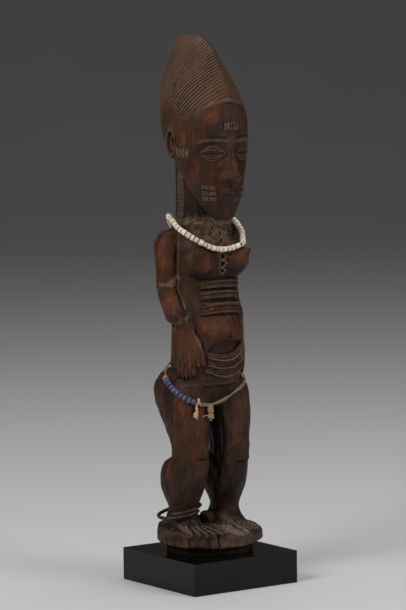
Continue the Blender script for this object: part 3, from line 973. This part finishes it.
def tube(parts, C, radius, n=12, closed=False, value=0.0, twist=0.0, lobes=0, lobe=0.0, phase=0.0):
    """A tube along points C with a carried frame; lobes make it a twisted cord."""
    C = np.asarray(C, float)
    m = len(C)
    T = np.roll(C, -1, 0) - np.roll(C, 1, 0) if closed else np.gradient(C, axis=0)
    T /= np.linalg.norm(T, axis=1)[:, None]
    u, v, _ = frame_of(T[0])
    U = [u]
    for i in range(1, m):
        w = U[-1] - T[i] * np.dot(U[-1], T[i])
        U.append(w / np.linalg.norm(w))
    U = np.array(U)
    s = np.concatenate([[0], np.cumsum(np.linalg.norm(np.diff(C, axis=0), axis=1))])
    roll = np.zeros(m)
    if closed:
        w = U[-1] - T[0] * np.dot(U[-1], T[0])
        w /= np.linalg.norm(w)
        a = math.atan2(np.dot(np.cross(w, U[0]), T[0]), np.dot(w, U[0]))
        roll = a * s / s[-1]
    Vv = np.cross(T, U)
    rad = np.broadcast_to(np.asarray(radius, float), (m,))
    P = np.empty((m, n, 3))
    for i in range(n):
        a = i / n * 2 * math.pi + roll
        r = rad * (1 + lobe * np.cos(lobes * a + twist * s + phase)) if lobes else rad
        P[:, i] = C + U * (r * np.cos(a))[:, None] + Vv * (r * np.sin(a))[:, None]
    faces = []
    for j in range(m if closed else m - 1):
        k = (j + 1) % m
        faces += [(j * n + i, j * n + (i + 1) % n, k * n + (i + 1) % n, k * n + i) for i in range(n)]
    if not closed:
        faces += [tuple(reversed(range(n))), tuple((m - 1) * n + i for i in range(n))]
    parts.add(P.reshape(-1, 3), faces, value)


rs = np.random.RandomState(7)
# neck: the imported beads' places give the run; more beads carry it round behind the neck
neck_names = sorted(n for n in frame["nodes"] if n.startswith("necklace_bead_"))
centres = np.array([node_points(n).mean(0) for n in neck_names])
neck_curve = drape(NECK_ROUTE[::-1], 96, lambda t: np.full(len(t), 2.25 + 0.85), 252)
dense = catmull(neck_curve, 1600)
seg = np.linalg.norm(np.roll(dense, -1, 0) - dense, axis=1)
arc = np.concatenate([[0], np.cumsum(seg)[:-1]])
total = seg.sum()


def arc_of(p, curve=None, arcs=None):
    curve = dense if curve is None else curve
    arcs = arc if arcs is None else arcs
    return arcs[np.argmin(((curve - p) ** 2).sum(1))]


def point_at(s):
    i = int(np.searchsorted(arc, s % total, side="right") - 1)
    t = (s % total - arc[i]) / seg[i]
    return dense[i] * (1 - t) + dense[(i + 1) % len(dense)] * t


S = np.array([arc_of(c) for c in centres])
S = np.unwrap(S / total * 2 * math.pi) / 2 / math.pi * total
neck_beads = Parts()
lengths = [np.ptp(node_points(n) @ (centres[min(i + 1, len(centres) - 1)] - centres[max(i - 1, 0)]) / np.linalg.norm(centres[min(i + 1, len(centres) - 1)] - centres[max(i - 1, 0)])) for i, n in enumerate(neck_names)]
for i, c in enumerate(centres):
    axis = centres[min(i + 1, len(centres) - 1)] - centres[max(i - 1, 0)]
    r = 2.25 * (0.955 + 0.06 * math.sin(i * 2.4 + 0.7)) + (0.22 if i in (0, 7, 9) else 0)
    bead(neck_beads, c, axis, r, lengths[i] + (0.12 if i in (0, 9) else 0.02), rs, value=rs.uniform())
end, start = S[-1] + lengths[-1] / 2 + 0.25, S[0] - lengths[0] / 2 - 0.25 + total
while start < end:
    start += total
while start - end > total:
    end += total
s = end
sgn = 1
span = start - end
count = int(round(span / 3.85))
w = 1 + 0.16 * np.sin(np.arange(count) * 1.9 + 0.4) + 0.1 * np.sin(np.arange(count) * 4.1)
w = w / w.sum() * span
for i in range(count):
    a, b = point_at(s), point_at(s + w[i])
    chord = np.linalg.norm(b - a)
    bead(neck_beads, (a + b) / 2 * 0.5 + point_at(s + w[i] / 2) * 0.5, b - a, 2.25 * (0.94 + 0.06 * math.sin(i * 2.1)), chord - 0.5, rs, value=rs.uniform())
    s += w[i]
necklace = neck_beads.build("necklace_beads")
p = Parts()
tube(p, catmull(neck_curve, 360), 0.5, 10, True, 0.3, twist=3.2, lobes=2, lobe=0.16)
neck_string = p.build("neck_string")

# hips: beads, twisted string, wrapped bundle, loop and knot
waist_names = sorted(n for n in frame["nodes"] if n.startswith("waist_bead_"))
wc = np.array([node_points(n).mean(0) for n in waist_names])
hip_beads = Parts()
for i, n in enumerate(waist_names):
    ax_ = wc[min(i + 1, len(wc) - 1)] - wc[max(i - 1, 0)]
    ax_ = ax_ / np.linalg.norm(ax_)
    ln = np.ptp(node_points(n) @ ax_)
    last = i == len(wc) - 1
    bead(hip_beads, wc[i], ax_, 2.32 * (0.97 + 0.05 * math.sin(i * 1.7)) + (0.25 if last else 0), ln + 0.02, rs, value=2.0 if last else rs.uniform())
hip = hip_beads.build("hip_beads")

waist_curve = drape(WAIST_ROUTE, 110, lambda t: np.where((t > 0.06) & (t < 0.235), 2.1 + 0.85, 0.8 + 0.85))
cord = Parts()
W = catmull(waist_curve, 900)
segw = np.linalg.norm(np.roll(W, -1, 0) - W, axis=1)
sw = np.concatenate([[0], np.cumsum(segw)[:-1]])
T = np.roll(W, -1, 0) - np.roll(W, 1, 0)
T /= np.linalg.norm(T, axis=1)[:, None]
gw = gradient(plain_fn, W, 0.3)
gw /= np.linalg.norm(gw, axis=1)[:, None]
B_ = np.cross(T, gw)
# two strands lying beside each other, crossing now and then; inside the beads they run together
sb = sorted(arc_of(c, W, sw) for c in wc)
inside = smooth(sb[0] - 6, sb[0] - 1, sw) * smooth(sb[-1] + 6, sb[-1] + 1, sw)
gapw = 0.62 * (1 - inside) + 0.12
for k in (-1, 1):
    off = k * gapw * np.cos(sw / sw[-1] * 2 * math.pi * 5 + 0.4)
    lift = k * 0.42 * (1 - inside * 0.8) * np.sin(sw / sw[-1] * 2 * math.pi * 5 + 0.4)
    tube(cord, W + B_ * off[:, None] + gw * (lift - 0.15)[:, None], 0.62 - 0.16 * inside, 10, True, 0.29 + 0.07 * k, twist=4.4, lobes=2, lobe=0.17, phase=k)


def before(x, z, off):
    y = np.linspace(-60, 0, 1201)
    v = plain_fn(np.full(1201, x, F32), y.astype(F32), np.full(1201, z, F32))
    return np.array([x, y[np.argmax(v <= off)], z])


top, low = before(-12.0, 120.2, 3.1), before(-11.6, 107.4, 3.1)
up = (top - low) / np.linalg.norm(top - low)
mid = (top + low) / 2
u_, v_, _ = frame_of(up)
# core of the bundle
tube(cord, [mid + up * t for t in np.linspace(-6.0, 5.6, 16)], [1.2, 1.7] + [1.8] * 12 + [1.6, 1.1], 14, False, 0.25)
# turns of fibre round it, in two groups
for z0_, z1_, turns, r in ((-5.6, -2.3, 3.6, 2.05), (-0.4, 5.0, 5.6, 2.05)):
    t = np.linspace(0, 1, int(turns * 26))
    a = t * turns * 2 * math.pi
    C = mid + up * (z0_ + (z1_ - z0_) * t)[:, None] + u_ * (r * np.cos(a) * (1 + 0.03 * np.sin(3 * a)))[:, None] + v_ * (r * np.sin(a))[:, None]
    tube(cord, C, 0.48, 8, False, 0.50, twist=4.0, lobes=2, lobe=0.15)
# strand crossing from string to bundle
tied = W[np.argmin(((W - np.array([-23, -16.5, 121])) ** 2).sum(1))]
tube(cord, catmull([tied + [0.5, -1.0, 0], before(-19.5, 118.6, 1.6), before(-16.0, 119.4, 2.2), top + up * -1.2 + u_ * 0], 60, False), 0.6, 9, False, 0.8, twist=4, lobes=2, lobe=0.15)
tube(cord, catmull([before(-18.6, 109.8, 1.2), before(-16.0, 110.6, 1.4), low + up * 2.6 + [0, -2.0, 0], before(-8.6, 110.4, 1.0)], 60, False), 0.36, 8, False, 0.6, twist=5, lobes=2, lobe=0.15)
# pale loop and its knot
loop = [tied + [0.0, 0.3, 2.0], tied + [-0.5, -1.3, 3.2], tied + [-0.7, -1.8, 1.2]] + [before(x, z, 1.75) for x, z in ((-24.2, 119.6), (-24.2, 114.6), (-25.0, 111.4))]
tube(cord, catmull(loop, 80, False), np.interp(np.linspace(0, 1, 80), [0, 0.15, 0.8, 1], [0.7, 1.0, 1.05, 1.2]), 12, False, 0.82, twist=2.6, lobes=3, lobe=0.1)
k = before(-25.8, 112.0, 2.6)
t = np.linspace(0, 1, 90)
a = t * 2 * math.pi * 2.2
C = np.stack([k[0] + 1.25 * np.cos(a) * (1 - 0.2 * t), k[1] + 0.95 * np.sin(a), k[2] - 1.9 + 3.8 * t], 1)
tube(cord, C, 0.92, 10, False, 0.84, twist=3, lobes=3, lobe=0.1)
tube(cord, [k + [0, 0.2, -2.4], k + [0, 0, 0], k + [0.2, 0, 2.4]], [1.0, 1.3, 1.0], 10, False, 0.95)
tube(cord, catmull([k + [0.1, 0, -1.4], k + [0.9, -0.4, -2.8], k + [1.5, -0.1, -3.8]], 14, False), np.linspace(0.6, 0.25, 14), 8, False, 0.95)
# frayed ends under the bundle
for i in range(9):
    d = rs.normal(size=3) * [0.9, 0.5, 0.3]
    b0 = mid - up * 5.4 + u_ * rs.uniform(-1.2, 1.2) + v_ * rs.uniform(-1.0, 1.0)
    tube(cord, catmull([b0, b0 - up * 1.2 + d * 0.5, b0 - up * rs.uniform(1.8, 3.0) + d], 8, False), np.linspace(0.22, 0.1, 8), 6, False, 0.7)
hip_cord = cord.build("hip_string")

# ankle wire
ring = Parts()
deg = np.linspace(-116, 342, 300)
a = np.radians(deg)
r = 16.6 + 0.2 * np.sin(3 * a)
over = along([[-116, 2.9], [-20, 2.9], [30, 2.2], [150, 0], [342, -0.3]], deg)
uu, ff = np.cos(a) * r, np.sin(a) * r
EX, EY = 0.817, -0.577
C = np.stack([-22.7 + uu * EX - ff * EY, 9.3 + uu * EY + ff * EX, 30.8 + 0.17 * uu + 0.08 * ff + over], 1)
rw = 1.36 * (1 + 0.03 * np.sin(a * 7) + 0.03 * np.sin(a * 17 + 1))
rw[:6] *= np.linspace(0.55, 1, 6)
rw[-6:] *= np.linspace(1, 0.55, 6)
tube(ring, C, rw, 16, False, 0.5)
wire = ring.build("ankle_wire")


# ------------------------------------------------------------------ materials
def material(name):
    m = bpy.data.materials.new(name)
    m.use_nodes = True
    t = m.node_tree
    return m, t, t.nodes["Principled BSDF"]


class Net:
    """Short hand for wiring shader nodes."""

    def __init__(self, tree):
        self.t = tree
        self.tc = tree.nodes.new("ShaderNodeTexCoord")

    def link(self, a, b):
        self.t.links.new(a, b)

    def put(self, sock, v):
        if hasattr(v, "is_output"):
            self.link(v, sock)
        else:
            sock.default_value = v

    def scaled(self, sx, sy, sz):
        n = self.t.nodes.new("ShaderNodeMapping")
        self.link(self.tc.outputs["Object"], n.inputs["Vector"])
        n.inputs["Scale"].default_value = (sx, sy, sz)
        return n.outputs[0]

    def noise(self, vec, scale, detail=4.0, rough=0.55, distort=0.0):
        n = self.t.nodes.new("ShaderNodeTexNoise")
        self.link(vec, n.inputs["Vector"])
        n.inputs["Scale"].default_value = scale
        n.inputs["Detail"].default_value = detail
        n.inputs["Roughness"].default_value = rough
        n.inputs["Distortion"].default_value = distort
        return n.outputs["Fac"]

    def voronoi(self, vec, scale, feature="F1"):
        n = self.t.nodes.new("ShaderNodeTexVoronoi")
        n.feature = feature
        self.link(vec, n.inputs["Vector"])
        n.inputs["Scale"].default_value = scale
        return n.outputs["Distance"]

    def math(self, op, a, b=0.0, c=0.0, clamp=False):
        n = self.t.nodes.new("ShaderNodeMath")
        n.operation = op
        n.use_clamp = clamp
        self.put(n.inputs[0], a)
        self.put(n.inputs[1], b)
        if len(n.inputs) > 2:
            self.put(n.inputs[2], c)
        return n.outputs[0]

    def ramp(self, v, a, b, lo=0.0, hi=1.0):
        n = self.t.nodes.new("ShaderNodeMapRange")
        n.interpolation_type = "SMOOTHSTEP"
        self.put(n.inputs["Value"], v)
        n.inputs["From Min"].default_value = a
        n.inputs["From Max"].default_value = b
        n.inputs["To Min"].default_value = lo
        n.inputs["To Max"].default_value = hi
        return n.outputs["Result"]

    def mix(self, f, a, b, mode="MIX"):
        n = self.t.nodes.new("ShaderNodeMix")
        n.data_type = "RGBA"
        n.blend_type = mode
        self.put(n.inputs[0], f)
        self.put(n.inputs[6], a)
        self.put(n.inputs[7], b)
        return n.outputs[2]

    def attr(self, name):
        n = self.t.nodes.new("ShaderNodeAttribute")
        n.attribute_name = name
        return n.outputs["Fac"]

    def bump(self, height, strength, distance, normal=None):
        n = self.t.nodes.new("ShaderNodeBump")
        n.inputs["Strength"].default_value = strength
        n.inputs["Distance"].default_value = distance
        self.link(height, n.inputs["Height"])
        if normal is not None:
            self.link(normal, n.inputs["Normal"])
        return n.outputs["Normal"]

    def height(self):
        n = self.t.nodes.new("ShaderNodeSeparateXYZ")
        self.link(self.tc.outputs["Object"], n.inputs[0])
        return n.outputs[2]


def rgb(r, g, b):
    return (r, g, b, 1.0)


def wood(name, hairy=False):
    m, t, p = material(name)
    n = Net(t)
    v = n.tc.outputs["Object"]
    grain = n.noise(n.scaled(1, 1, 0.07), 1000, 5, 0.62, 0.4)
    grain2 = n.noise(n.scaled(1, 1, 0.12), 330, 4, 0.58, 0.7)
    blotch = n.noise(n.scaled(1, 1, 0.6), 30, 4, 0.62, 0.4)
    blotch2 = n.noise(n.scaled(1, 1, 0.5), 85, 4, 0.62, 0.3)
    fine = n.noise(v, 1500, 4, 0.6)
    nick, hollow, deep, edge, dust, base, warm, dark = [n.attr(a) for a in ("nick", "hollow", "deep", "edge", "dust", "base", "warm", "dark")]
    if hairy:
        # greyer wood, pale on the ridges and black in the cut lines
        c = n.mix(n.ramp(blotch, 0.36, 0.66), rgb(0.0509, 0.0246, 0.0151), rgb(0.0933, 0.0428, 0.0248))
        c = n.mix(n.math("MULTIPLY", n.ramp(grain2, 0.45, 0.70), 0.40), c, rgb(0.0300, 0.0167, 0.0109))
        c = n.mix(n.math("MULTIPLY", warm, n.ramp(blotch2, 0.35, 0.62, 0.25, 0.85)), c, rgb(0.1113, 0.0372, 0.0160))
        c = n.mix(n.math("MULTIPLY", dark, 0.5), c, rgb(0.0300, 0.0158, 0.0101))
        c = n.mix(n.math("MULTIPLY", dust, n.ramp(n.noise(v, 240, 4, 0.65), 0.30, 0.66, 0.15, 0.80)), c, rgb(0.1749, 0.1097, 0.0756))
        c = n.mix(n.math("MULTIPLY", base, 0.80), c, rgb(0.0140, 0.0084, 0.0059))
        c = n.mix(n.math("MULTIPLY", n.math("MULTIPLY", edge, n.math("SUBTRACT", 1.0, base)), 0.25), c, rgb(0.1590, 0.0837, 0.0521))
        r = n.math("ADD", n.ramp(blotch2, 0.3, 0.7, 0.46, 0.62), n.math("MULTIPLY", base, 0.2))
    else:
        # body colour: near-black brown, red-brown where it is handled and lit
        c = n.mix(n.ramp(n.math("ADD", blotch, n.math("MULTIPLY", warm, 0.16)), 0.40, 0.68), rgb(0.0260, 0.0119, 0.0071), rgb(0.0808, 0.0251, 0.0097))
        c = n.mix(n.ramp(n.math("ADD", blotch2, n.math("MULTIPLY", warm, 0.15)), 0.52, 0.74, 0, 0.85), c, rgb(0.1627, 0.0484, 0.0176))
        # cool greyish bloom, and small mottling
        bloom = n.noise(n.scaled(1, 1, 0.7), 62, 5, 0.66, 0.5)
        c = n.mix(n.ramp(bloom, 0.52, 0.70, 0, 0.55), c, rgb(0.0572, 0.0363, 0.0302))
        c = n.mix(n.ramp(bloom, 0.46, 0.30, 0, 0.60), c, rgb(0.0149, 0.0102, 0.0067))
        mott = n.noise(n.scaled(1, 1, 0.6), 520, 4, 0.7)
        c = n.mix(n.ramp(mott, 0.52, 0.72, 0, 0.50), c, rgb(0.0130, 0.0084, 0.0059))
        c = n.mix(n.ramp(mott, 0.46, 0.28, 0, 0.28), c, rgb(0.1676, 0.0818, 0.0470))
        c = n.mix(n.math("MULTIPLY", n.ramp(grain2, 0.44, 0.70), 0.45), c, rgb(0.0177, 0.0098, 0.0063))
        c = n.mix(n.math("MULTIPLY", n.ramp(grain, 0.50, 0.70), 0.50), c, rgb(0.0121, 0.0074, 0.0055))
        c = n.mix(n.math("MULTIPLY", n.ramp(grain, 0.44, 0.30), 0.26), c, rgb(0.1380, 0.0670, 0.0370))
        # darker greyer zones, mottled
        c = n.mix(n.math("MULTIPLY", dark, n.ramp(blotch2, 0.36, 0.64, 1.0, 0.42), clamp=True), c, rgb(0.0172, 0.0108, 0.0079))
        bn = n.noise(v, 135, 5, 0.68)
        c = n.mix(n.math("MULTIPLY", base, n.ramp(bn, 0.44, 0.62, 0.10, 0.80)), c, rgb(0.0986, 0.0567, 0.0353))
        c = n.mix(n.math("MULTIPLY", base, n.ramp(bn, 0.48, 0.33, 0.0, 0.85)), c, rgb(0.0130, 0.0084, 0.0059))
        c = n.mix(n.math("MULTIPLY", base, n.ramp(n.noise(v, 70, 4, 0.6), 0.52, 0.68, 0.0, 0.60)), c, rgb(0.0937, 0.0335, 0.0126))
        # worn edges are paler, hollows hold black patina, then pale dust
        c = n.mix(n.math("MULTIPLY", edge, 0.36), c, rgb(0.1725, 0.0884, 0.0470))
        c = n.mix(n.math("MULTIPLY", hollow, 0.80), c, rgb(0.0074, 0.0048, 0.0038))
        c = n.mix(n.math("MULTIPLY", deep, 0.45), c, rgb(0.0121, 0.0084, 0.0059))
        lodged = n.math("MULTIPLY", n.ramp(nick, 0.40, 0.95), n.ramp(n.noise(v, 120, 3, 0.6), 0.46, 0.64), clamp=True)
        c = n.mix(n.math("MULTIPLY", lodged, 0.35), c, rgb(0.1627, 0.1209, 0.0823))
        lying = n.math("MULTIPLY", dust, n.ramp(n.noise(v, 420, 4, 0.7), 0.32, 0.62, 0.12, 1.0), clamp=True)
        c = n.mix(n.math("MULTIPLY", lying, 0.85), c, n.mix(base, rgb(0.235, 0.160, 0.108), rgb(0.260, 0.195, 0.145)))
        # a few pale specks
        speck = n.math("MULTIPLY", n.ramp(n.voronoi(v, 300), 0.11, 0.05), n.ramp(n.noise(v, 75, 3, 0.6), 0.56, 0.64), clamp=True)
        c = n.mix(n.math("MULTIPLY", speck, 0.55), c, rgb(0.30, 0.24, 0.18))
        r = n.ramp(blotch2, 0.3, 0.7, 0.42, 0.60)
        r = n.math("ADD", r, n.math("MULTIPLY", lying, 0.35))
        r = n.math("ADD", r, n.math("MULTIPLY", lodged, 0.25))
        r = n.math("ADD", r, n.math("MULTIPLY", base, 0.15))
    t.links.new(c, p.inputs["Base Color"])
    t.links.new(r, p.inputs["Roughness"])
    hgt = n.math("ADD", n.math("MULTIPLY", grain, 0.7), n.math("MULTIPLY", grain2, 0.7))
    hgt = n.math("ADD", hgt, n.math("MULTIPLY", fine, 0.25))
    nb = n.bump(hgt, 0.58, 0.00055)
    nb = n.bump(n.noise(n.scaled(1, 1, 0.35), 150, 3, 0.5), 0.35, 0.0008, nb)
    t.links.new(nb, p.inputs["Normal"])
    p.inputs["Specular IOR Level"].default_value = 0.155
    return m


def lacquer():
    m, t, p = material("black_lacquer")
    n = Net(t)
    v = n.tc.outputs["Object"]
    sm = n.noise(v, 22, 4, 0.6, 0.4)
    c = n.mix(n.ramp(sm, 0.4, 0.7), rgb(0.0024, 0.0029, 0.0022), rgb(0.0046, 0.0054, 0.0042))
    speck = n.ramp(n.voronoi(v, 420), 0.06, 0.02)
    dustn = n.math("MULTIPLY", speck, n.ramp(n.noise(v, 160, 2), 0.52, 0.62), clamp=True)
    c = n.mix(n.math("MULTIPLY", dustn, 0.35), c, rgb(0.16, 0.15, 0.14))
    t.links.new(c, p.inputs["Base Color"])
    r = n.ramp(sm, 0.3, 0.7, 0.10, 0.19)
    t.links.new(n.math("ADD", r, n.math("MULTIPLY", dustn, 0.3)), p.inputs["Roughness"])
    t.links.new(n.bump(n.noise(v, 60, 3, 0.5), 0.06, 0.0006), p.inputs["Normal"])
    p.inputs["Specular IOR Level"].default_value = 0.235
    return m


def glass(name, dark, light, tint, tan=None):
    m, t, p = material(name)
    n = Net(t)
    v = n.tc.outputs["Object"]
    sh = n.attr("shade")
    c = n.mix(n.math("FRACT", sh), dark, light)
    c = n.mix(n.ramp(n.noise(n.scaled(1, 1, 1), 420, 3, 0.6), 0.50, 0.68, 0, 0.5), c, tint)
    if tan:
        c = n.mix(n.math("GREATER_THAN", sh, 1.5), c, tan)
    pits = n.ramp(n.noise(v, 1300, 3, 0.7), 0.60, 0.70)
    c = n.mix(n.math("MULTIPLY", pits, 0.45), c, rgb(tint[0] * 0.35, tint[1] * 0.33, tint[2] * 0.3))
    t.links.new(c, p.inputs["Base Color"])
    t.links.new(n.ramp(n.noise(v, 600, 3), 0.3, 0.7, 0.28, 0.52), p.inputs["Roughness"])
    t.links.new(n.bump(n.noise(v, 1100, 3, 0.6), 0.3, 0.00022), p.inputs["Normal"])
    p.inputs["Subsurface Weight"].default_value = 0.12
    p.inputs["Subsurface Scale"].default_value = 0.0012
    p.inputs["Subsurface Radius"].default_value = (1.0, 0.9, 0.7)
    return m


def fibre():
    m, t, p = material("fibre_cord")
    n = Net(t)
    v = n.tc.outputs["Object"]
    sh = n.attr("shade")
    c = n.mix(sh, rgb(0.105, 0.052, 0.020), rgb(0.78, 0.51, 0.30))
    c = n.mix(n.ramp(n.noise(v, 900, 4, 0.7), 0.42, 0.66, 0, 0.6), c, rgb(0.07, 0.045, 0.03))
    c = n.mix(n.ramp(n.noise(v, 300, 3, 0.6), 0.5, 0.7, 0, 0.5), c, rgb(0.33, 0.19, 0.10))
    t.links.new(c, p.inputs["Base Color"])
    p.inputs["Roughness"].default_value = 0.78
    t.links.new(n.bump(n.noise(v, 2600, 4, 0.7), 0.6, 0.00025), p.inputs["Normal"])
    p.inputs["Sheen Weight"].default_value = 0.15
    p.inputs["Sheen Roughness"].default_value = 0.5
    return m


def iron():
    m, t, p = material("dark_iron")
    n = Net(t)
    v = n.tc.outputs["Object"]
    c = n.mix(n.ramp(n.noise(v, 230, 5, 0.7), 0.38, 0.66), rgb(0.017, 0.014, 0.011), rgb(0.070, 0.055, 0.042))
    c = n.mix(n.ramp(n.noise(v, 520, 4, 0.6), 0.52, 0.70, 0, 0.6), c, rgb(0.115, 0.060, 0.032))
    t.links.new(c, p.inputs["Base Color"])
    p.inputs["Metallic"].default_value = 0.5
    t.links.new(n.ramp(n.noise(v, 480, 4, 0.6), 0.3, 0.7, 0.38, 0.66), p.inputs["Roughness"])
    t.links.new(n.bump(n.noise(v, 1000, 4, 0.65), 0.5, 0.0003), p.inputs["Normal"])
    return m


def dress(ob, mat, body, nodes=()):
    ob.data.materials.clear()
    ob.data.materials.append(mat)
    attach(ob, body)
    if nodes:
        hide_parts(*nodes)
    return ob


dress(carving, wood("carved_wood"), "root", ["figure"])
dress(coiffure, wood("carved_hair", True), "root", ["figure"])
WHITE = glass("glass_white", rgb(0.68, 0.58, 0.44), rgb(0.90, 0.84, 0.72), rgb(0.58, 0.46, 0.32))
BLUE = glass("glass_blue", rgb(0.048, 0.050, 0.115), rgb(0.105, 0.110, 0.205), rgb(0.062, 0.052, 0.100), rgb(0.25, 0.165, 0.11))
dress(necklace, WHITE, "root", neck_names)
dress(hip, BLUE, "root", waist_names)
FIBRE = fibre()
dress(neck_string, FIBRE, "root", ["necklace_string"])
dress(hip_cord, FIBRE, "root", ["waist_string"])
dress(wire, iron(), "root", ["ankle_ring"])
for name in ("plinth",):
    o = frame["nodes"][name]
    o.data.materials.clear()
    o.data.materials.append(lacquer())

# ------------------------------------------------------------------ stage, light, camera
sc = bpy.context.scene
fm = bpy.data.meshes.new("floor")
rows_ = [(-4.0, 0.0), (2.8, 0.0)] + [(2.8 + 3.6 * math.sin(a_), 3.6 - 3.6 * math.cos(a_)) for a_ in np.linspace(0.03, math.pi / 2, 32)] + [(6.4, 6.5)]
# the floor runs away from the camera and turns up into a backdrop, both square to the view
view_dir = Vector((0.57303789, 0.81169132, 0)).normalized()
side_dir = Vector((view_dir.y, -view_dir.x, 0))
vv, ff_ = [], []
for d_, h_ in rows_:
    for s_ in (-5.0, 5.0):
        q_ = view_dir * d_ + side_dir * s_
        vv.append((q_.x, q_.y, h_))
for j in range(len(rows_) - 1):
    ff_.append((2 * j, 2 * j + 1, 2 * j + 3, 2 * j + 2))
fm.from_pydata(vv, [], ff_)
fm.update()
fm.polygons.foreach_set("use_smooth", np.ones(len(fm.polygons), bool))
floor = bpy.data.objects.new("floor", fm)
sc.collection.objects.link(floor)
m, t, p = material("floor_paper")
n = Net(t)
t.links.new(n.mix(n.noise(n.tc.outputs["Object"], 3, 2), rgb(0.60, 0.60, 0.605), rgb(0.64, 0.64, 0.645)), p.inputs["Base Color"])
p.inputs["Roughness"].default_value = 0.75
fm.materials.append(m)

cam = bpy.data.cameras.new("camera")
co = bpy.data.objects.new("camera", cam)
sc.collection.objects.link(co)
cam.sensor_fit = "AUTO"
cam.sensor_width = 36
cam.lens = 3700 / 610 * 36
cam.clip_start, cam.clip_end = 0.1, 40
CM = Matrix(((0.81610576, 0.07482625, -0.57303789, -1.68023113), (-0.57778415, 0.08557271, -0.81169132, -2.37452534), (-0.01169942, 0.99351816, 0.1130698, 0.55225796), (0, 0, 0, 1)))
co.matrix_world = CM
sc.camera = co

world = bpy.data.worlds.new("world")
sc.world = world
world.use_nodes = True
world.node_tree.nodes["Background"].inputs[0].default_value = (0.80, 0.82, 0.85, 1)
world.node_tree.nodes["Background"].inputs[1].default_value = 0.035
sc.view_settings.view_transform = "Standard"


def area(name, where, target, w_, h_, power, colour=(1, 1, 1)):
    l = bpy.data.lights.new(name, "AREA")
    l.shape = "RECTANGLE"
    l.size, l.size_y, l.energy, l.color = w_, h_, power, colour
    o = bpy.data.objects.new(name, l)
    o.location = where
    o.rotation_mode = "QUATERNION"
    o.rotation_quaternion = (Vector(target) - Vector(where)).to_track_quat("-Z", "Y")
    sc.collection.objects.link(o)
    return o


def at(right, fwd, up_):
    # place seen from the camera: right, towards the camera, up, in metres from the object
    q_ = side_dir * right - view_dir * fwd
    return (q_.x, q_.y, up_)


area("key", at(-1.0, 1.1, 1.25), (0, 0, 0.24), 0.8, 1.0, 20, (1.0, 0.98, 0.95))
area("fill", at(1.3, 0.7, 0.8), (0, 0, 0.22), 0.7, 1.1, 9, (0.97, 0.98, 1.0))
area("top", at(0.1, -0.2, 1.7), (0, 0, 0.1), 1.0, 0.8, 13)
